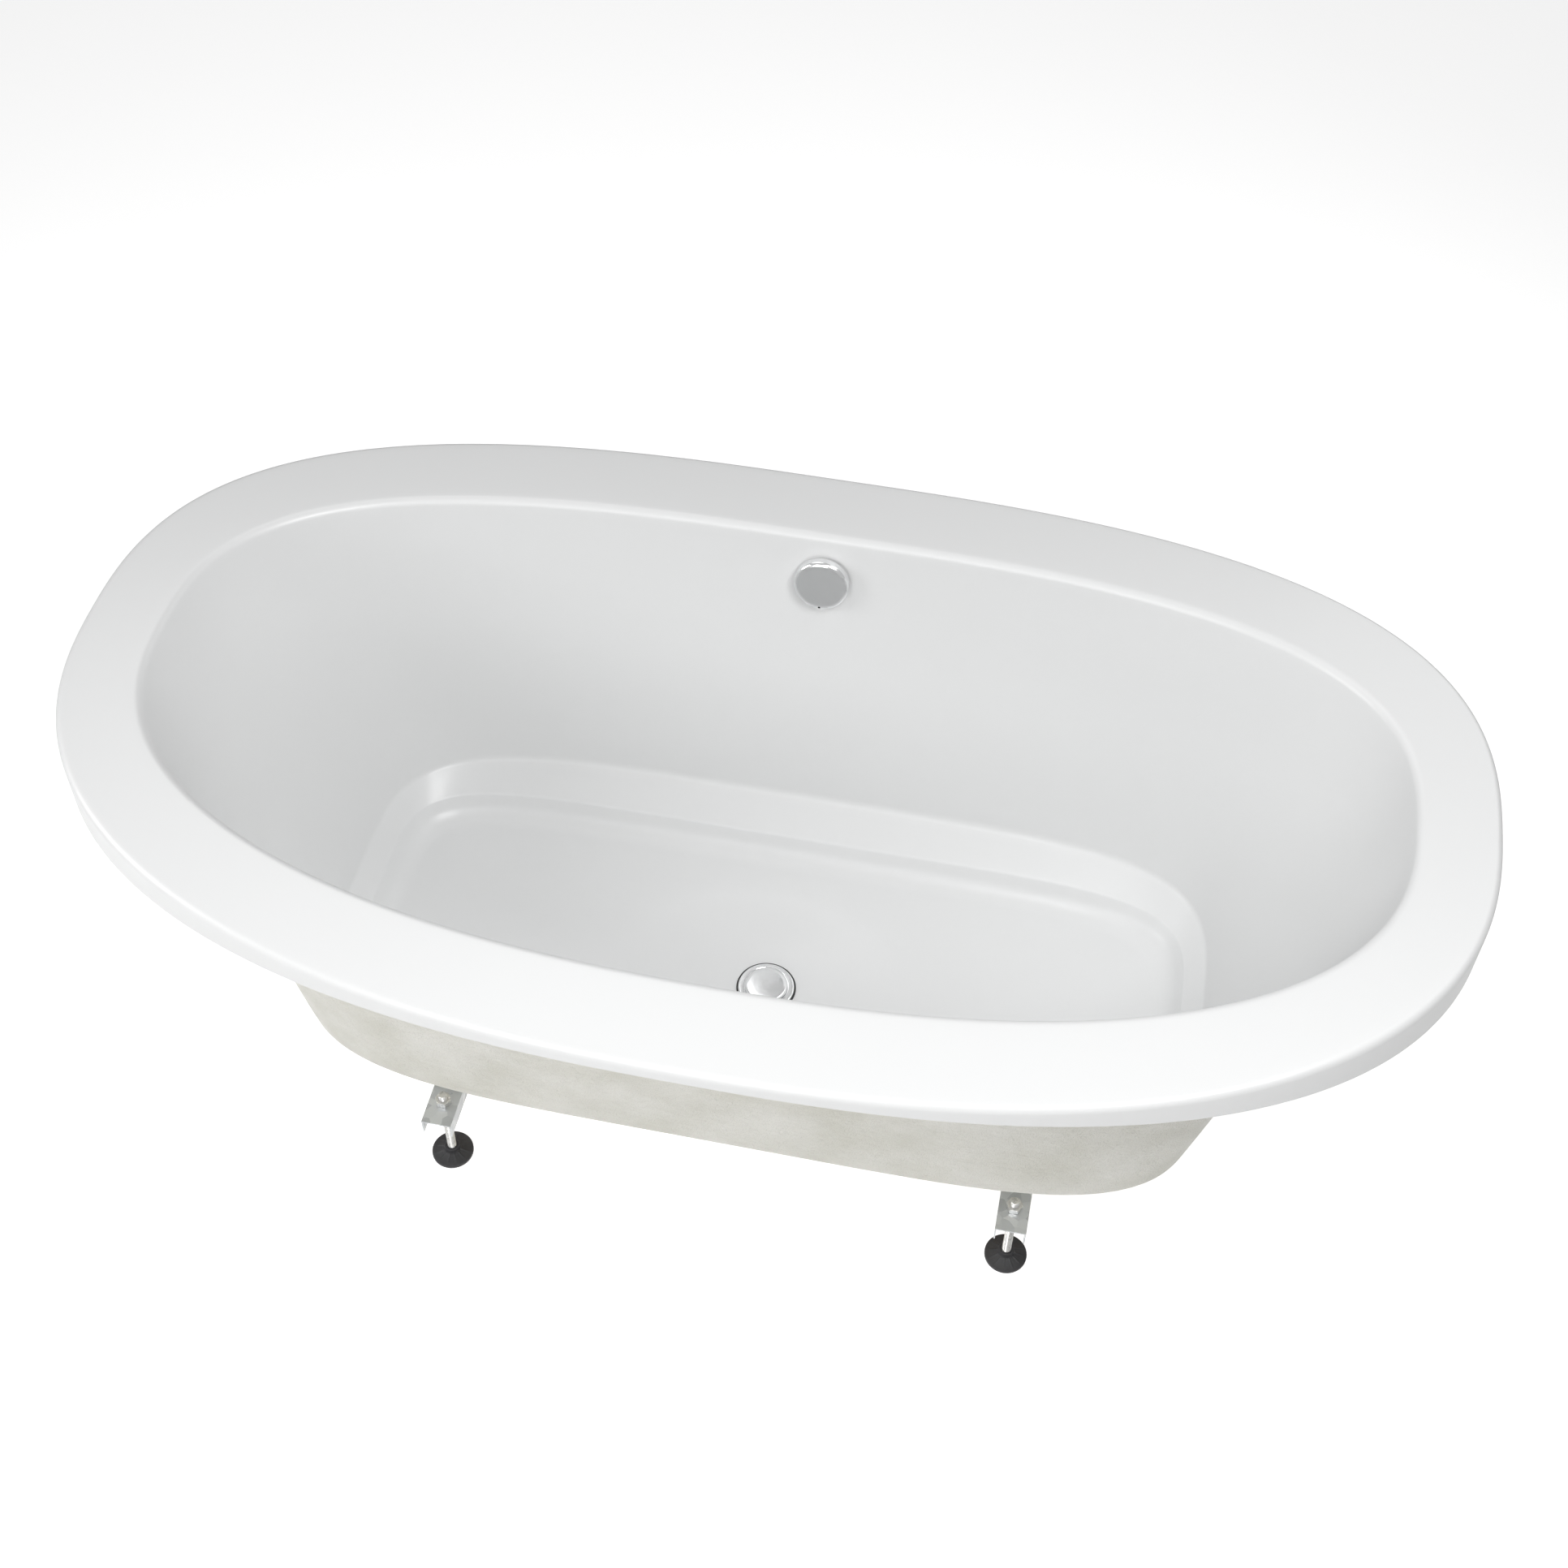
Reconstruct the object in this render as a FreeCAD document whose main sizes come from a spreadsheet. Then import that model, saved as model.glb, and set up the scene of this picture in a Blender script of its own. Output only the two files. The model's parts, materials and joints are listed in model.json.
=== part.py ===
import FreeCAD, Part
import os
import re
from math import atan2, cos, degrees, pi, radians, sin, tan

import Sketcher

Vector = FreeCAD.Vector
X_AXIS = Vector(1, 0, 0)
Y_AXIS = Vector(0, 1, 0)
Z_AXIS = Vector(0, 0, 1)

# An oval inset bath on its own cradle, with a pop-up waste, a rotary overflow and a running trap.
# Millimetres. X runs along the bath, Y towards its back wall, Z up. The origin is on the ground
# under the middle of the bath, where the drain is.

# ---------------------------------------------------------------- driving dimensions
DIMENSIONS = {
    # the shell: outline, rim and well
    "bath_length": 1700, "bath_width": 960, "rim_height": 645, "end_rise": 50,
    "rim_end": 92, "rim_side": 120, "lip_depth": 20, "outline_power": 2.5, "well_power": 2.55,
    "outer_fold": 9, "inner_fold": 12, "skin": 5, "laminate_skin": 3, "bond_gap": 0.3,
    "foot_depth": 442, "foot_length": 1172, "foot_width": 578, "foot_power": 4.6, "foot_fold": 14,
    "ledge_end": 27, "ledge_side": 58, "ledge_power": 5.9, "ledge_depth": 468, "ledge_fold": 10,
    "step_reach": 16, "floor_depth": 495, "floor_fold": 34,
    "dish_length": 420, "dish_width": 330, "seat_depth": 515, "seat_radius": 46,
    # the cradle
    "board_inner": 215, "board_length": 260, "board_width": 330, "board_thick": 16, "board_corner": 50,
    "bar_station": 380, "bar_width": 40, "bar_tall": 25, "bar_length": 600, "bar_wall": 2,
    "foot_station": 265, "rod_radius": 6, "rod_length": 134, "pad_radius": 28, "pad_tall": 18,
    "nut_flats": 19, "nut_tall": 9, "screw_radius": 2, "screw_length": 16, "screw_head": 4,
    "rod_clearance": 0.3,
    # the waste
    "drain_hole": 26.2, "gasket_outer": 41, "gasket_inner": 27.5, "gasket_thick": 1.5,
    "flange_radius": 38.6, "flange_thick": 3, "groove_depth": 1.2, "throat_radius": 22.5,
    "tail_radius": 25, "tail_length": 24,
    "hub_radius": 7, "hub_tall": 7, "arm_thick": 2.5, "arm_tall": 5, "fit": 0.06,
    "stem_radius": 4, "stem_length": 34, "cap_radius": 29.5, "cap_thick": 5, "cap_gap": 0.4,
    "seal_tall": 3.9, "body_gasket_thick": 2.5, "collar_radius": 40, "collar_thick": 5,
    "bowl_radius": 30, "bowl_wall": 3, "bowl_length": 48, "bowl_corner": 5,
    "pipe_radius": 20, "pipe_wall": 2.5, "spigot_length": 14, "pipe_relief": 0.6, "pipe_gap": 0.3,
    "port_bore": 7.5, "port_reach": 52, "port_height": 90,
    "lever_pivot": 20, "lever_height": 94, "lever_shaft": 3, "crank_length": 20, "crank_station": 38,
    "crank_thick": 5, "crank_width": 8, "crank_tail": 8, "fork_width": 2.2, "finger_width": 8,
    "trap_depth": 25, "trap_width": 60, "trap_rise": 62.5, "bend_radius": 23.5, "elbow_reach": 48,
    "outlet_end": 180, "nut_radius": 27, "nut_length": 14,
    "eye_radius": 11, "eye_bore": 8.5, "eye_neck": 7, "eye_cap_radius": 14, "eye_cap_tall": 10,
    # the overflow
    "overflow_depth": 66, "overflow_hole": 27, "knob_radius": 37, "knob_tall": 15, "knob_gap": 5,
    "knob_wall": 5, "grip_station": 24, "grip_slope": 42, "spindle_radius": 5, "spindle_end": 4,
    "plate_radius": 33, "plate_thick": 3,
    "knob_gasket_thick": 1.5, "housing_gasket_thick": 2, "seat_margin": 0.5,
    "clamp_screw_radius": 2.5, "clamp_screw_head": 4.2, "clamp_screw_inset": 4.5,
    "housing_radius": 33, "housing_deep": 22, "housing_wall": 3, "drum_radius": 7, "drum_tall": 8,
    # the hose and the cable
    "hose_radius": 12, "hose_wall": 2, "hose_bend": 40, "hose_overlap": 14, "clamp_length": 12,
    "cable_radius": 2.5, "cable_bore": 1.2, "cable_offset": 21, "wire_radius": 0.8, "bead_radius": 1.8,
}

AROUND = 64                      # places round the oval where each ring's formula is worked out

doc = FreeCAD.newDocument("bath")
sheet = doc.addObject("Spreadsheet::Sheet", "dims")


def fill_sheet():
    for row, (alias, value) in enumerate(DIMENSIONS.items(), start=1):
        sheet.set("A%d" % row, alias)
        sheet.set("B%d" % row, str(value))
        sheet.setAlias("B%d" % row, alias)
    doc.recompute()


def size(alias):
    """The number that the sheet holds under this alias."""
    return float(getattr(sheet, alias))


def bound(text):
    """The same formula with every alias named as the sheet's cell."""
    return re.sub(r"[a-z_]+", lambda word: "dims." + word.group(), str(text))


def at(x=0.0, y=0.0, z=0.0, rotation=FreeCAD.Rotation()):
    return FreeCAD.Placement(Vector(x, y, z), rotation)


# ---------------------------------------------------------------- the ways a piece is made
def origin_plane(body, role):
    return next(f for f in body.Origin.OriginFeatures if f.Role == role)


def outline_sketch(body, plane, outline):
    """A closed outline of straight edges, each corner held by its two bound distances."""
    sketch = body.newObject("Sketcher::SketchObject", "outline")
    sketch.AttachmentSupport = [(origin_plane(body, plane), "")]
    sketch.MapMode = "FlatFace"
    count = len(outline)
    start = [Vector(50 + 40 * cos(2 * pi * i / count), 50 + 40 * sin(2 * pi * i / count), 0)
             for i in range(count)]
    for i in range(count):
        sketch.addGeometry(Part.LineSegment(start[i], start[(i + 1) % count]), False)
    for i in range(count):
        sketch.addConstraint(Sketcher.Constraint("Coincident", i, 2, (i + 1) % count, 1))
    for i, (across, up) in enumerate(outline):
        for axis_name, axis_line, formula in (("DistanceX", -2, across), ("DistanceY", -1, up)):
            if formula == 0:
                sketch.addConstraint(Sketcher.Constraint("PointOnObject", i, 1, axis_line))
            else:
                row = sketch.addConstraint(Sketcher.Constraint(axis_name, -1, 1, i, 1, 10.0 + i))
                sketch.setExpression("Constraints[%d]" % row, bound(formula))
    return sketch


def turned(label, outline, placement):
    """A body of revolution about its own Z; the outline is (radius, height) formulas, none negative."""
    body = doc.addObject("PartDesign::Body", label)
    body.Label = label
    sketch = outline_sketch(body, "XZ_Plane", outline)
    spin = body.newObject("PartDesign::Revolution", "spin")
    spin.Profile = sketch
    spin.ReferenceAxis = (sketch, ["V_Axis"])
    spin.Angle = 360
    sketch.Visibility = False
    body.Placement = placement
    doc.recompute()
    return body


def plate(label, outline, thickness, placement):
    """A flat plate with straight edges, standing on its own XY plane."""
    body = doc.addObject("PartDesign::Body", label)
    body.Label = label
    sketch = outline_sketch(body, "XY_Plane", outline)
    pad = body.newObject("PartDesign::Pad", "pad")
    pad.Profile = sketch
    pad.setExpression("Length", bound(thickness))
    body.Placement = placement
    doc.recompute()
    return body


def round_edges(body, radius, wanted):
    """Fillets the edges of the body's last feature for which wanted(edge) is true."""
    last = body.Tip
    names = ["Edge%d" % (i + 1) for i, edge in enumerate(last.Shape.Edges) if wanted(edge)]
    fillet = body.newObject("PartDesign::Fillet", "rounding")
    fillet.Base = (last, names)
    fillet.Radius = radius
    doc.recompute()
    return body


def ring_at(radius, height):
    """Picks the round edge with this radius and height in its body's own frame."""
    def wanted(edge):
        curve = edge.Curve
        return (isinstance(curve, Part.Circle) and abs(curve.Radius - radius) < 0.01
                and abs(curve.Center.z - height) < 0.01)
    return wanted


def standing(edge):
    """Picks the edges that stand along the body's own Z."""
    first, last = edge.Vertexes[0].Point, edge.Vertexes[-1].Point
    return (last - first).Length > 1 and abs(abs((last - first).normalize().z) - 1) < 1e-6


def primitive(kind, label, placement, **formulas):
    """A Part primitive with its sizes bound to the sheet."""
    piece = doc.addObject("Part::" + kind, label)
    piece.Label = label
    for name, formula in formulas.items():
        piece.setExpression(name, bound(formula))
    piece.Placement = placement
    return piece


def joined(label, pieces):
    fuse = doc.addObject("Part::MultiFuse", label)
    fuse.Label = label
    fuse.Shapes = pieces
    return fuse


def cut(label, base, tools):
    """The base without any of the tools."""
    piece = doc.addObject("Part::Cut", label)
    piece.Label = label
    piece.Base = base
    piece.Tool = tools[0] if len(tools) == 1 else joined(label + "_tools", tools)
    doc.recompute()
    return piece


def group(label, pieces):
    """Separate equal solids that share one node."""
    bundle = doc.addObject("Part::Compound", label)
    bundle.Label = label
    bundle.Links = pieces
    return bundle


def shaped(label, shape):
    feature = doc.addObject("Part::Feature", label)
    feature.Label = label
    feature.Shape = shape
    return feature


def washer(label, outer, inner, thick, placement):
    return turned(label, [(inner, 0), (outer, 0), (outer, thick), (inner, thick)], placement)


# ---------------------------------------------------------------- the oval skin
class Ring:
    """One oval round the bath: half axes, superellipse power, height and share of the end rise."""

    def __init__(self, half_length, half_width, power, height, rise):
        self.half_length = half_length
        self.half_width = half_width
        self.power = power
        self.height = height
        self.rise = rise

    def point(self, turn, inset=0.0, lift=0.0):
        c, s = cos(turn), sin(turn)
        reach = (abs(c) ** self.power + abs(s) ** self.power) ** (-1 / self.power)
        x = (self.half_length - inset) * reach * c
        y = (self.half_width - inset) * reach * s
        saddle = self.rise * size("end_rise") * (2 * x / size("bath_length")) ** 2
        return Vector(x, y, self.height + lift + saddle)


class Station:
    """A place on the skin's profile: a ring, the way the profile heads there and how far along it.

    Headings are degrees from straight up, turning inwards, at the bath's ends and at its sides:
    0 climbs the lip, 90 crosses the rim inwards and 180 drops straight down.
    """

    def __init__(self, ring, heading, advance=None):
        self.ring = ring
        self.ends, self.sides = heading
        self.advance = advance or (lambda turn: 0.0)

    def heading(self, turn):
        return radians(self.ends * cos(turn) ** 2 + self.sides * sin(turn) ** 2)

    def point(self, turn, depth, reach=0.0):
        """The skin's point, sunk by depth below the show face and moved on by reach."""
        way = self.heading(turn)
        along = self.advance(turn) + reach
        return self.ring.point(turn, inset=along * sin(way) + depth * cos(way),
                               lift=along * cos(way) - depth * sin(way))


def corner(ring, heading_in, heading_out, radius):
    """The two ends of the arc that rounds the profile's corner at this ring."""
    before, after = Station(ring, heading_in), Station(ring, heading_out)

    def tangent(turn):
        return radius * abs(tan((after.heading(turn) - before.heading(turn)) / 2))
    before.advance = lambda turn: -tangent(turn)
    after.advance = tangent
    return before, after


def straight(first, second, depth):
    return [[station.point(turn, depth) for turn in turns()] for station in (first, second)]


def curved(first, second, depth, handle):
    """Four control rings of a smooth band that leaves and arrives along the two headings."""
    return [
        [first.point(turn, depth) for turn in turns()],
        [first.point(turn, depth, handle(turn)) for turn in turns()],
        [second.point(turn, depth, -handle(turn)) for turn in turns()],
        [second.point(turn, depth) for turn in turns()],
    ]


def arc(first, second, depth, radius):
    def handle(turn):
        bend = second.heading(turn) - first.heading(turn)
        sunk_radius = radius - depth if bend > 0 else radius + depth
        return 4 / 3 * tan(abs(bend) / 4) * sunk_radius
    return curved(first, second, depth, handle)


def turns():
    return [2 * pi * i / AROUND for i in range(AROUND)]


def closed_curve(points):
    curve = Part.BSplineCurve()
    curve.interpolate(Points=points, PeriodicFlag=True, Parameters=[i / AROUND for i in range(AROUND + 1)])
    return curve


def level_face(outer, inner):
    """The plane face between two closed rings at one height."""
    wires = [Part.Wire(closed_curve(points).toShape()) for points in (outer, inner)]
    return Part.makeFace(wires, "Part::FaceMakerCheese")


def band_face(rings):
    """A face through closed control rings: straight across for two, a smooth cubic for four."""
    curves = [closed_curve(points) for points in rings]
    first = curves[0]
    poles = [list(column) for column in zip(*(curve.getPoles() for curve in curves))]
    degree = len(rings) - 1
    surface = Part.BSplineSurface()
    surface.buildFromPolesMultsKnots(
        poles, first.getMultiplicities(), [degree + 1, degree + 1],
        first.getKnots(), [0, 1], True, False, first.Degree, degree)
    return surface.toShape()


def skin_profile():
    """The stations of the bath's profile, from the lip's edge to the drain hole."""
    half_length, half_width = size("bath_length") / 2, size("bath_width") / 2
    rim, power = size("rim_height"), size("outline_power")
    up, level = (0, 0), (90, 90)
    wall_top, wall_foot = (161, 172), (166, 177)
    drop = size("ledge_depth") - size("foot_depth")
    ledge = (90 + degrees(atan2(drop, size("ledge_end"))), 90 + degrees(atan2(drop, size("ledge_side"))))
    step = (150, 150)
    foot_half, foot_side = size("foot_length") / 2, size("foot_width") / 2
    edge_half, edge_side = foot_half - size("ledge_end"), foot_side - size("ledge_side")

    lip_edge = Station(Ring(half_length, half_width, power, rim - size("lip_depth"), 0), up)
    lip_top, rim_outer = corner(Ring(half_length, half_width, power, rim, 1), up, level,
                                size("outer_fold"))
    well = Ring(half_length - size("rim_end"), half_width - size("rim_side"), size("well_power"), rim, 1)
    rim_inner, wall_start = corner(well, level, wall_top, size("inner_fold"))
    foot = Ring(foot_half, foot_side, size("foot_power"), rim - size("foot_depth"), 0)
    wall_end, ledge_start = corner(foot, wall_foot, ledge, size("foot_fold"))
    edge = Ring(edge_half, edge_side, size("ledge_power"), rim - size("ledge_depth"), 0)
    edge_in, edge_out = corner(edge, ledge, step, size("ledge_fold"))
    floor = Ring(edge_half - size("step_reach"), edge_side - size("step_reach"), size("ledge_power"),
                 rim - size("floor_depth"), 0)
    floor_in, floor_out = corner(floor, step, level, size("floor_fold"))
    dish = Station(Ring(size("dish_length") / 2, size("dish_width") / 2, 2.3,
                        rim - size("floor_depth"), 0), level)
    seat = Station(Ring(size("seat_radius"), size("seat_radius"), 2, rim - size("seat_depth"), 0),
                   level)
    hole = Station(Ring(size("drain_hole"), size("drain_hole"), 2, rim - size("seat_depth"), 0),
                   level)
    return [lip_edge, lip_top, rim_outer, rim_inner, wall_start, wall_end, ledge_start,
            edge_in, edge_out, floor_in, floor_out, dish, seat, hole]


def wall_handle(turn):
    """A third of the wall's height, so that the wall bends evenly from rim to foot."""
    return size("foot_depth") / 3


def dish_handle(turn):
    return size("dish_width") / 8


def skin_bands(depth, from_rim):
    """The rings of every band at this depth below the show face, outermost first."""
    (lip_edge, lip_top, rim_outer, rim_inner, wall_start, wall_end, ledge_start,
     edge_in, edge_out, floor_in, floor_out, dish, seat, hole) = skin_profile()
    lip = [straight(lip_edge, lip_top, depth), arc(lip_top, rim_outer, depth, size("outer_fold"))]
    well = [
        straight(rim_outer, rim_inner, depth),
        arc(rim_inner, wall_start, depth, size("inner_fold")),
        curved(wall_start, wall_end, depth, wall_handle),
        arc(wall_end, ledge_start, depth, size("foot_fold")),
        straight(ledge_start, edge_in, depth),
        arc(edge_in, edge_out, depth, size("ledge_fold")),
        straight(edge_out, floor_in, depth),
        arc(floor_in, floor_out, depth, size("floor_fold")),
        straight(floor_out, dish, depth),
        curved(dish, seat, depth, dish_handle),
        straight(seat, hole, depth),
    ]
    return well if from_rim else lip + well


def skin_solid(top_depth, bottom_depth, from_rim):
    """The closed skin between two depths below the show face."""
    top = skin_bands(top_depth, from_rim)
    bottom = skin_bands(bottom_depth, from_rim)
    outer_edge = [top[0][0], bottom[0][0]]
    hole_edge = [top[-1][-1], bottom[-1][-1]]
    faces = [band_face(rings) for rings in top + bottom + [hole_edge]]
    faces.append(band_face(outer_edge) if from_rim else level_face(*outer_edge))
    shell = Part.makeShell(faces)
    shell.sewShape()
    return Part.makeSolid(shell)


def overflow_frame():
    """Where the overflow sits on the back wall: X along the bath, Z out of the wall into the well."""
    stations = skin_profile()
    rings = curved(stations[4], stations[5], 0, wall_handle)
    quarter = AROUND // 4
    controls = [ring[quarter] for ring in rings]
    curve = Part.BezierCurve()
    curve.setPoles(controls)
    wanted = size("rim_height") - size("overflow_depth")
    low, high = 0.0, 1.0
    for _ in range(40):
        middle = (low + high) / 2
        if curve.value(middle).z > wanted:
            low = middle
        else:
            high = middle
    down = curve.tangent(low)[0]
    normal = X_AXIS.cross(down).normalize()
    if normal.y > 0:
        normal = normal * -1
    across = X_AXIS
    upwards = normal.cross(across)
    turn = FreeCAD.Rotation(across, upwards, normal, "ZXY")
    return FreeCAD.Placement(curve.value(low), turn)


def overflow_drill(label):
    return primitive("Cylinder", label, overflow_frame() * at(z=-40), Radius="overflow_hole", Height=80)


def bath_shell():
    """The moulded acrylic, with the overflow's hole and the flat that its seal sits on."""
    blank = shaped("shell_blank", skin_solid(0, size("skin"), False))
    flat = primitive("Cylinder", "overflow_flat", overflow_frame(), Radius="plate_radius + seat_margin",
                     Height="housing_deep")
    cut("bath_shell", blank, [overflow_drill("shell_drill"), flat])


def reinforcement():
    top = size("skin") + size("bond_gap")
    blank = shaped("laminate_blank", skin_solid(top, top + size("laminate_skin"), True))
    cut("reinforcement_laminate", blank, [overflow_drill("laminate_drill")])


# ---------------------------------------------------------------- the cradle
def skin_underside():
    """The depth of the laminate's underside below the show face."""
    return size("skin") + size("bond_gap") + size("laminate_skin")


def board_top():
    return size("rim_height") - size("floor_depth") - skin_underside() - size("bond_gap")


def bar_top():
    return board_top() - size("board_thick")


def base_board(side, sign):
    """A board bonded under the flat floor, on one side of the drain, with its screws' pilot holes."""
    label = "base_board_" + side
    corners = [(0, 0), ("board_length", 0), ("board_length", "board_width"), (0, "board_width")]
    near = size("board_inner") if sign > 0 else -size("board_inner") - size("board_length")
    blank = plate(label + "_blank", corners, "board_thick", at(near, -size("board_width") / 2, bar_top()))
    round_edges(blank, size("board_corner"), standing)
    pilots = [primitive("Cylinder", label + "_pilot", at(sign * size("bar_station"), y, screw_foot()),
                        Radius="screw_radius + fit", Height="screw_length + screw_radius + fit")
              for y in screw_rows()]
    cut(label, blank, pilots)


def crossbar(side, sign):
    """A channel, open below, with a hole for each foot rod and for each board screw."""
    label = "crossbar_" + side
    middle = sign * size("bar_station")
    low = bar_top() - size("bar_tall")
    outer = primitive("Box", label + "_outer", at(middle - size("bar_width") / 2,
                      -size("bar_length") / 2, low),
                      Length="bar_width", Width="bar_length", Height="bar_tall")
    inner = primitive("Box", label + "_inner", at(middle - size("bar_width") / 2 + size("bar_wall"),
                      -size("bar_length") / 2 - 1, low - size("bar_wall")),
                      Length="bar_width - 2 * bar_wall", Width="bar_length + 2", Height="bar_tall")
    holes = [primitive("Cylinder", label + "_rod_hole", at(middle, y, low),
                       Radius="rod_radius + rod_clearance", Height="2 * bar_tall") for y in foot_rows()]
    holes += [primitive("Cylinder", label + "_screw_hole", at(middle, y, low),
                        Radius="screw_radius + fit", Height="2 * bar_tall") for y in screw_rows()]
    return cut(label, outer, [inner] + holes)


def foot_rows():
    return (-size("foot_station"), size("foot_station"))


def screw_rows():
    half = size("board_width") / 2
    return [half * share for share in (-0.8, -0.3, 0.3, 0.8)]


def screw_foot():
    """The underside of the board screws' heads, which bear on the channel's web."""
    return bar_top() - size("bar_wall") - size("screw_head") / 2


def board_screws():
    """The pan-head screws that hold both crossbars to the boards."""
    screws = []
    for sign in (-1, 1):
        for y in screw_rows():
            screws.append(turned("board_screw", [
                (0, 0), ("screw_head", 0), ("screw_head", "screw_head / 2"),
                ("screw_radius", "screw_head / 2"), ("screw_radius", "screw_length"),
                (0, "screw_length + screw_radius")],
                at(sign * size("bar_station"), y, screw_foot())))
    return group("board_screws", screws)


def hexagon(label, flats, thick, bore, placement):
    """A hexagon nut about its own Z."""
    to_corner = 0.5 / cos(radians(30))
    blank = primitive("Prism", label + "_blank", placement,
                      Circumradius="%s * %.5f" % (flats, to_corner), Height=thick)
    blank.Polygon = 6
    drill = primitive("Cylinder", label + "_bore", placement * at(z=-1), Radius=bore,
                      Height=thick + " + 2")
    return cut(label, blank, [drill])


def bar_nuts():
    """The nuts that each foot rod screws through, two to a rod, clamped on the channel's web."""
    nuts = []
    for sign in (-1, 1):
        for y in foot_rows():
            x = sign * size("bar_station")
            below = bar_top() - size("bar_wall") - size("nut_tall") - size("fit")
            for z in (below, bar_top() + size("fit")):
                nuts.append(hexagon("bar_nut", "nut_flats", "nut_tall", "rod_radius + fit", at(x, y, z)))
    return group("bar_nuts", nuts)


def foot(side, x, y):
    """A threaded rod and its round pad, which stands on the ground."""
    turned("foot_rod_" + side, [
        (0, 0), ("rod_radius - 1", 0), ("rod_radius", 1), ("rod_radius", "rod_length - 1"),
        ("rod_radius - 1", "rod_length"), (0, "rod_length")], at(x, y, size("pad_tall") / 2))
    turned("foot_pad_" + side, [
        (0, 0), ("pad_radius - 1", 0), ("pad_radius", 1), ("pad_radius", "pad_tall / 3"),
        ("rod_radius + 5", "pad_tall * 0.6"), ("rod_radius + 4", "pad_tall"),
        ("rod_radius + fit", "pad_tall"), ("rod_radius + fit", "pad_tall / 2"), (0, "pad_tall / 2")],
        at(x, y, 0))


def feet():
    for end, sign in (("left", -1), ("right", 1)):
        for row, y in zip(("front", "back"), foot_rows()):
            foot(row + "_" + end, sign * size("bar_station"), y)


# ---------------------------------------------------------------- pipes
def pipe_path(points, radii):
    """Straight runs between the points, joined by tangent arcs of the given radii."""
    edges = []
    start = points[0]
    for before, here, after, radius in zip(points, points[1:], points[2:], radii):
        back, on = (before - here).normalize(), (after - here).normalize()
        half = back.getAngle(on) / 2
        trim = radius / tan(half)
        arc_in, arc_out = here + back * trim, here + on * trim
        centre = here + (back + on).normalize() * (radius / sin(half))
        middle = centre + (here - centre).normalize() * radius
        edges.append(Part.LineSegment(start, arc_in).toShape())
        edges.append(Part.Arc(arc_in, middle, arc_out).toShape())
        start = arc_out
    edges.append(Part.LineSegment(start, points[-1]).toShape())
    return Part.Wire(edges)


def tube(points, radii, outer, bore):
    """A round tube along the path, checked against its section times its length."""
    path = pipe_path(points, radii)
    way = (points[1] - points[0]).normalize()
    solids = []
    for radius in (outer, bore):
        mouth = Part.Wire(Part.makeCircle(radius, points[0], way))
        solids.append(path.makePipeShell([mouth], True, True))
        expected = pi * radius ** 2 * path.Length
        if abs(solids[-1].Volume / expected - 1) > 0.01:
            raise RuntimeError("a pipe's volume is not its section times its length")
    return solids[0].cut(solids[1])


# ---------------------------------------------------------------- the waste
def seat_top():
    return size("rim_height") - size("seat_depth")


def flange_foot():
    return seat_top() + size("gasket_thick")


def body_top():
    return seat_top() - skin_underside() - size("body_gasket_thick")


def flange_gasket():
    washer("flange_gasket", "gasket_outer", "gasket_inner", "gasket_thick", at(z=seat_top()))


def waste_flange():
    """The grooved ring in the floor, its threaded tail, and the spider that guides the stem."""
    ring = turned("flange_ring", [
        ("throat_radius", 0), ("tail_radius", 0), ("tail_radius", "tail_length"),
        ("flange_radius - 1", "tail_length"), ("flange_radius", "tail_length + 1"),
        ("flange_radius - 1.5", "tail_length + flange_thick"),
        ("cap_radius + 2", "tail_length + flange_thick"),
        ("cap_radius + 1.6", "tail_length + flange_thick - groove_depth"),
        ("throat_radius + 4", "tail_length + flange_thick - groove_depth"),
        ("throat_radius", "tail_length - 0.5")],
        at(z=flange_foot() - size("tail_length")))
    low = flange_foot() - size("tail_length") + size("hub_tall") - 1
    hub = primitive("Cylinder", "flange_hub", at(z=low), Radius="hub_radius", Height="hub_tall")
    arms = [primitive("Box", "flange_arm",
                      FreeCAD.Placement(Vector(0, 0, low), FreeCAD.Rotation(Z_AXIS, 90 + 120 * i))
                      * at(0, -size("arm_thick") / 2, 1),
                      Length="throat_radius + 1", Width="arm_thick", Height="arm_tall")
            for i in range(3)]
    drill = primitive("Cylinder", "flange_bore", at(z=low - 1), Radius="stem_radius + fit",
                      Height="hub_tall + arm_tall")
    cut("waste_flange", joined("flange_blank", [ring, hub] + arms), [drill])


def plug():
    """The pop-up plug: a domed cap on a stem, with a seal that closes the throat."""
    cap_foot = flange_foot() + size("flange_thick") + size("cap_gap")
    cap = turned("plug_cap", [
        ("stem_radius + fit", 0), ("cap_radius", 0), ("cap_radius", "cap_thick / 2"), (0, "cap_thick"),
        (0, "cap_thick / 2"), ("stem_radius + fit", "cap_thick / 2")], at(z=cap_foot))
    round_edges(cap, 1.5, ring_at(size("cap_radius"), size("cap_thick") / 2))
    stem_foot = cap_foot + size("cap_thick") / 2 - size("stem_length")
    turned("plug_stem", [
        (0, 0), ("stem_radius - 1", 0), ("stem_radius", 1), ("stem_radius", "stem_length"),
        (0, "stem_length")], at(z=stem_foot))
    turned("plug_seal", [
        ("stem_radius + fit", 0), ("throat_radius - 1", 0), ("throat_radius + 3", "seal_tall - 0.7"),
        ("throat_radius + 3", "seal_tall"), ("stem_radius + fit", "seal_tall")],
        at(z=cap_foot - size("seal_tall")))


def body_gasket():
    washer("body_gasket", "gasket_outer", "gasket_inner", "body_gasket_thick", at(z=body_top()))


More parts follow.
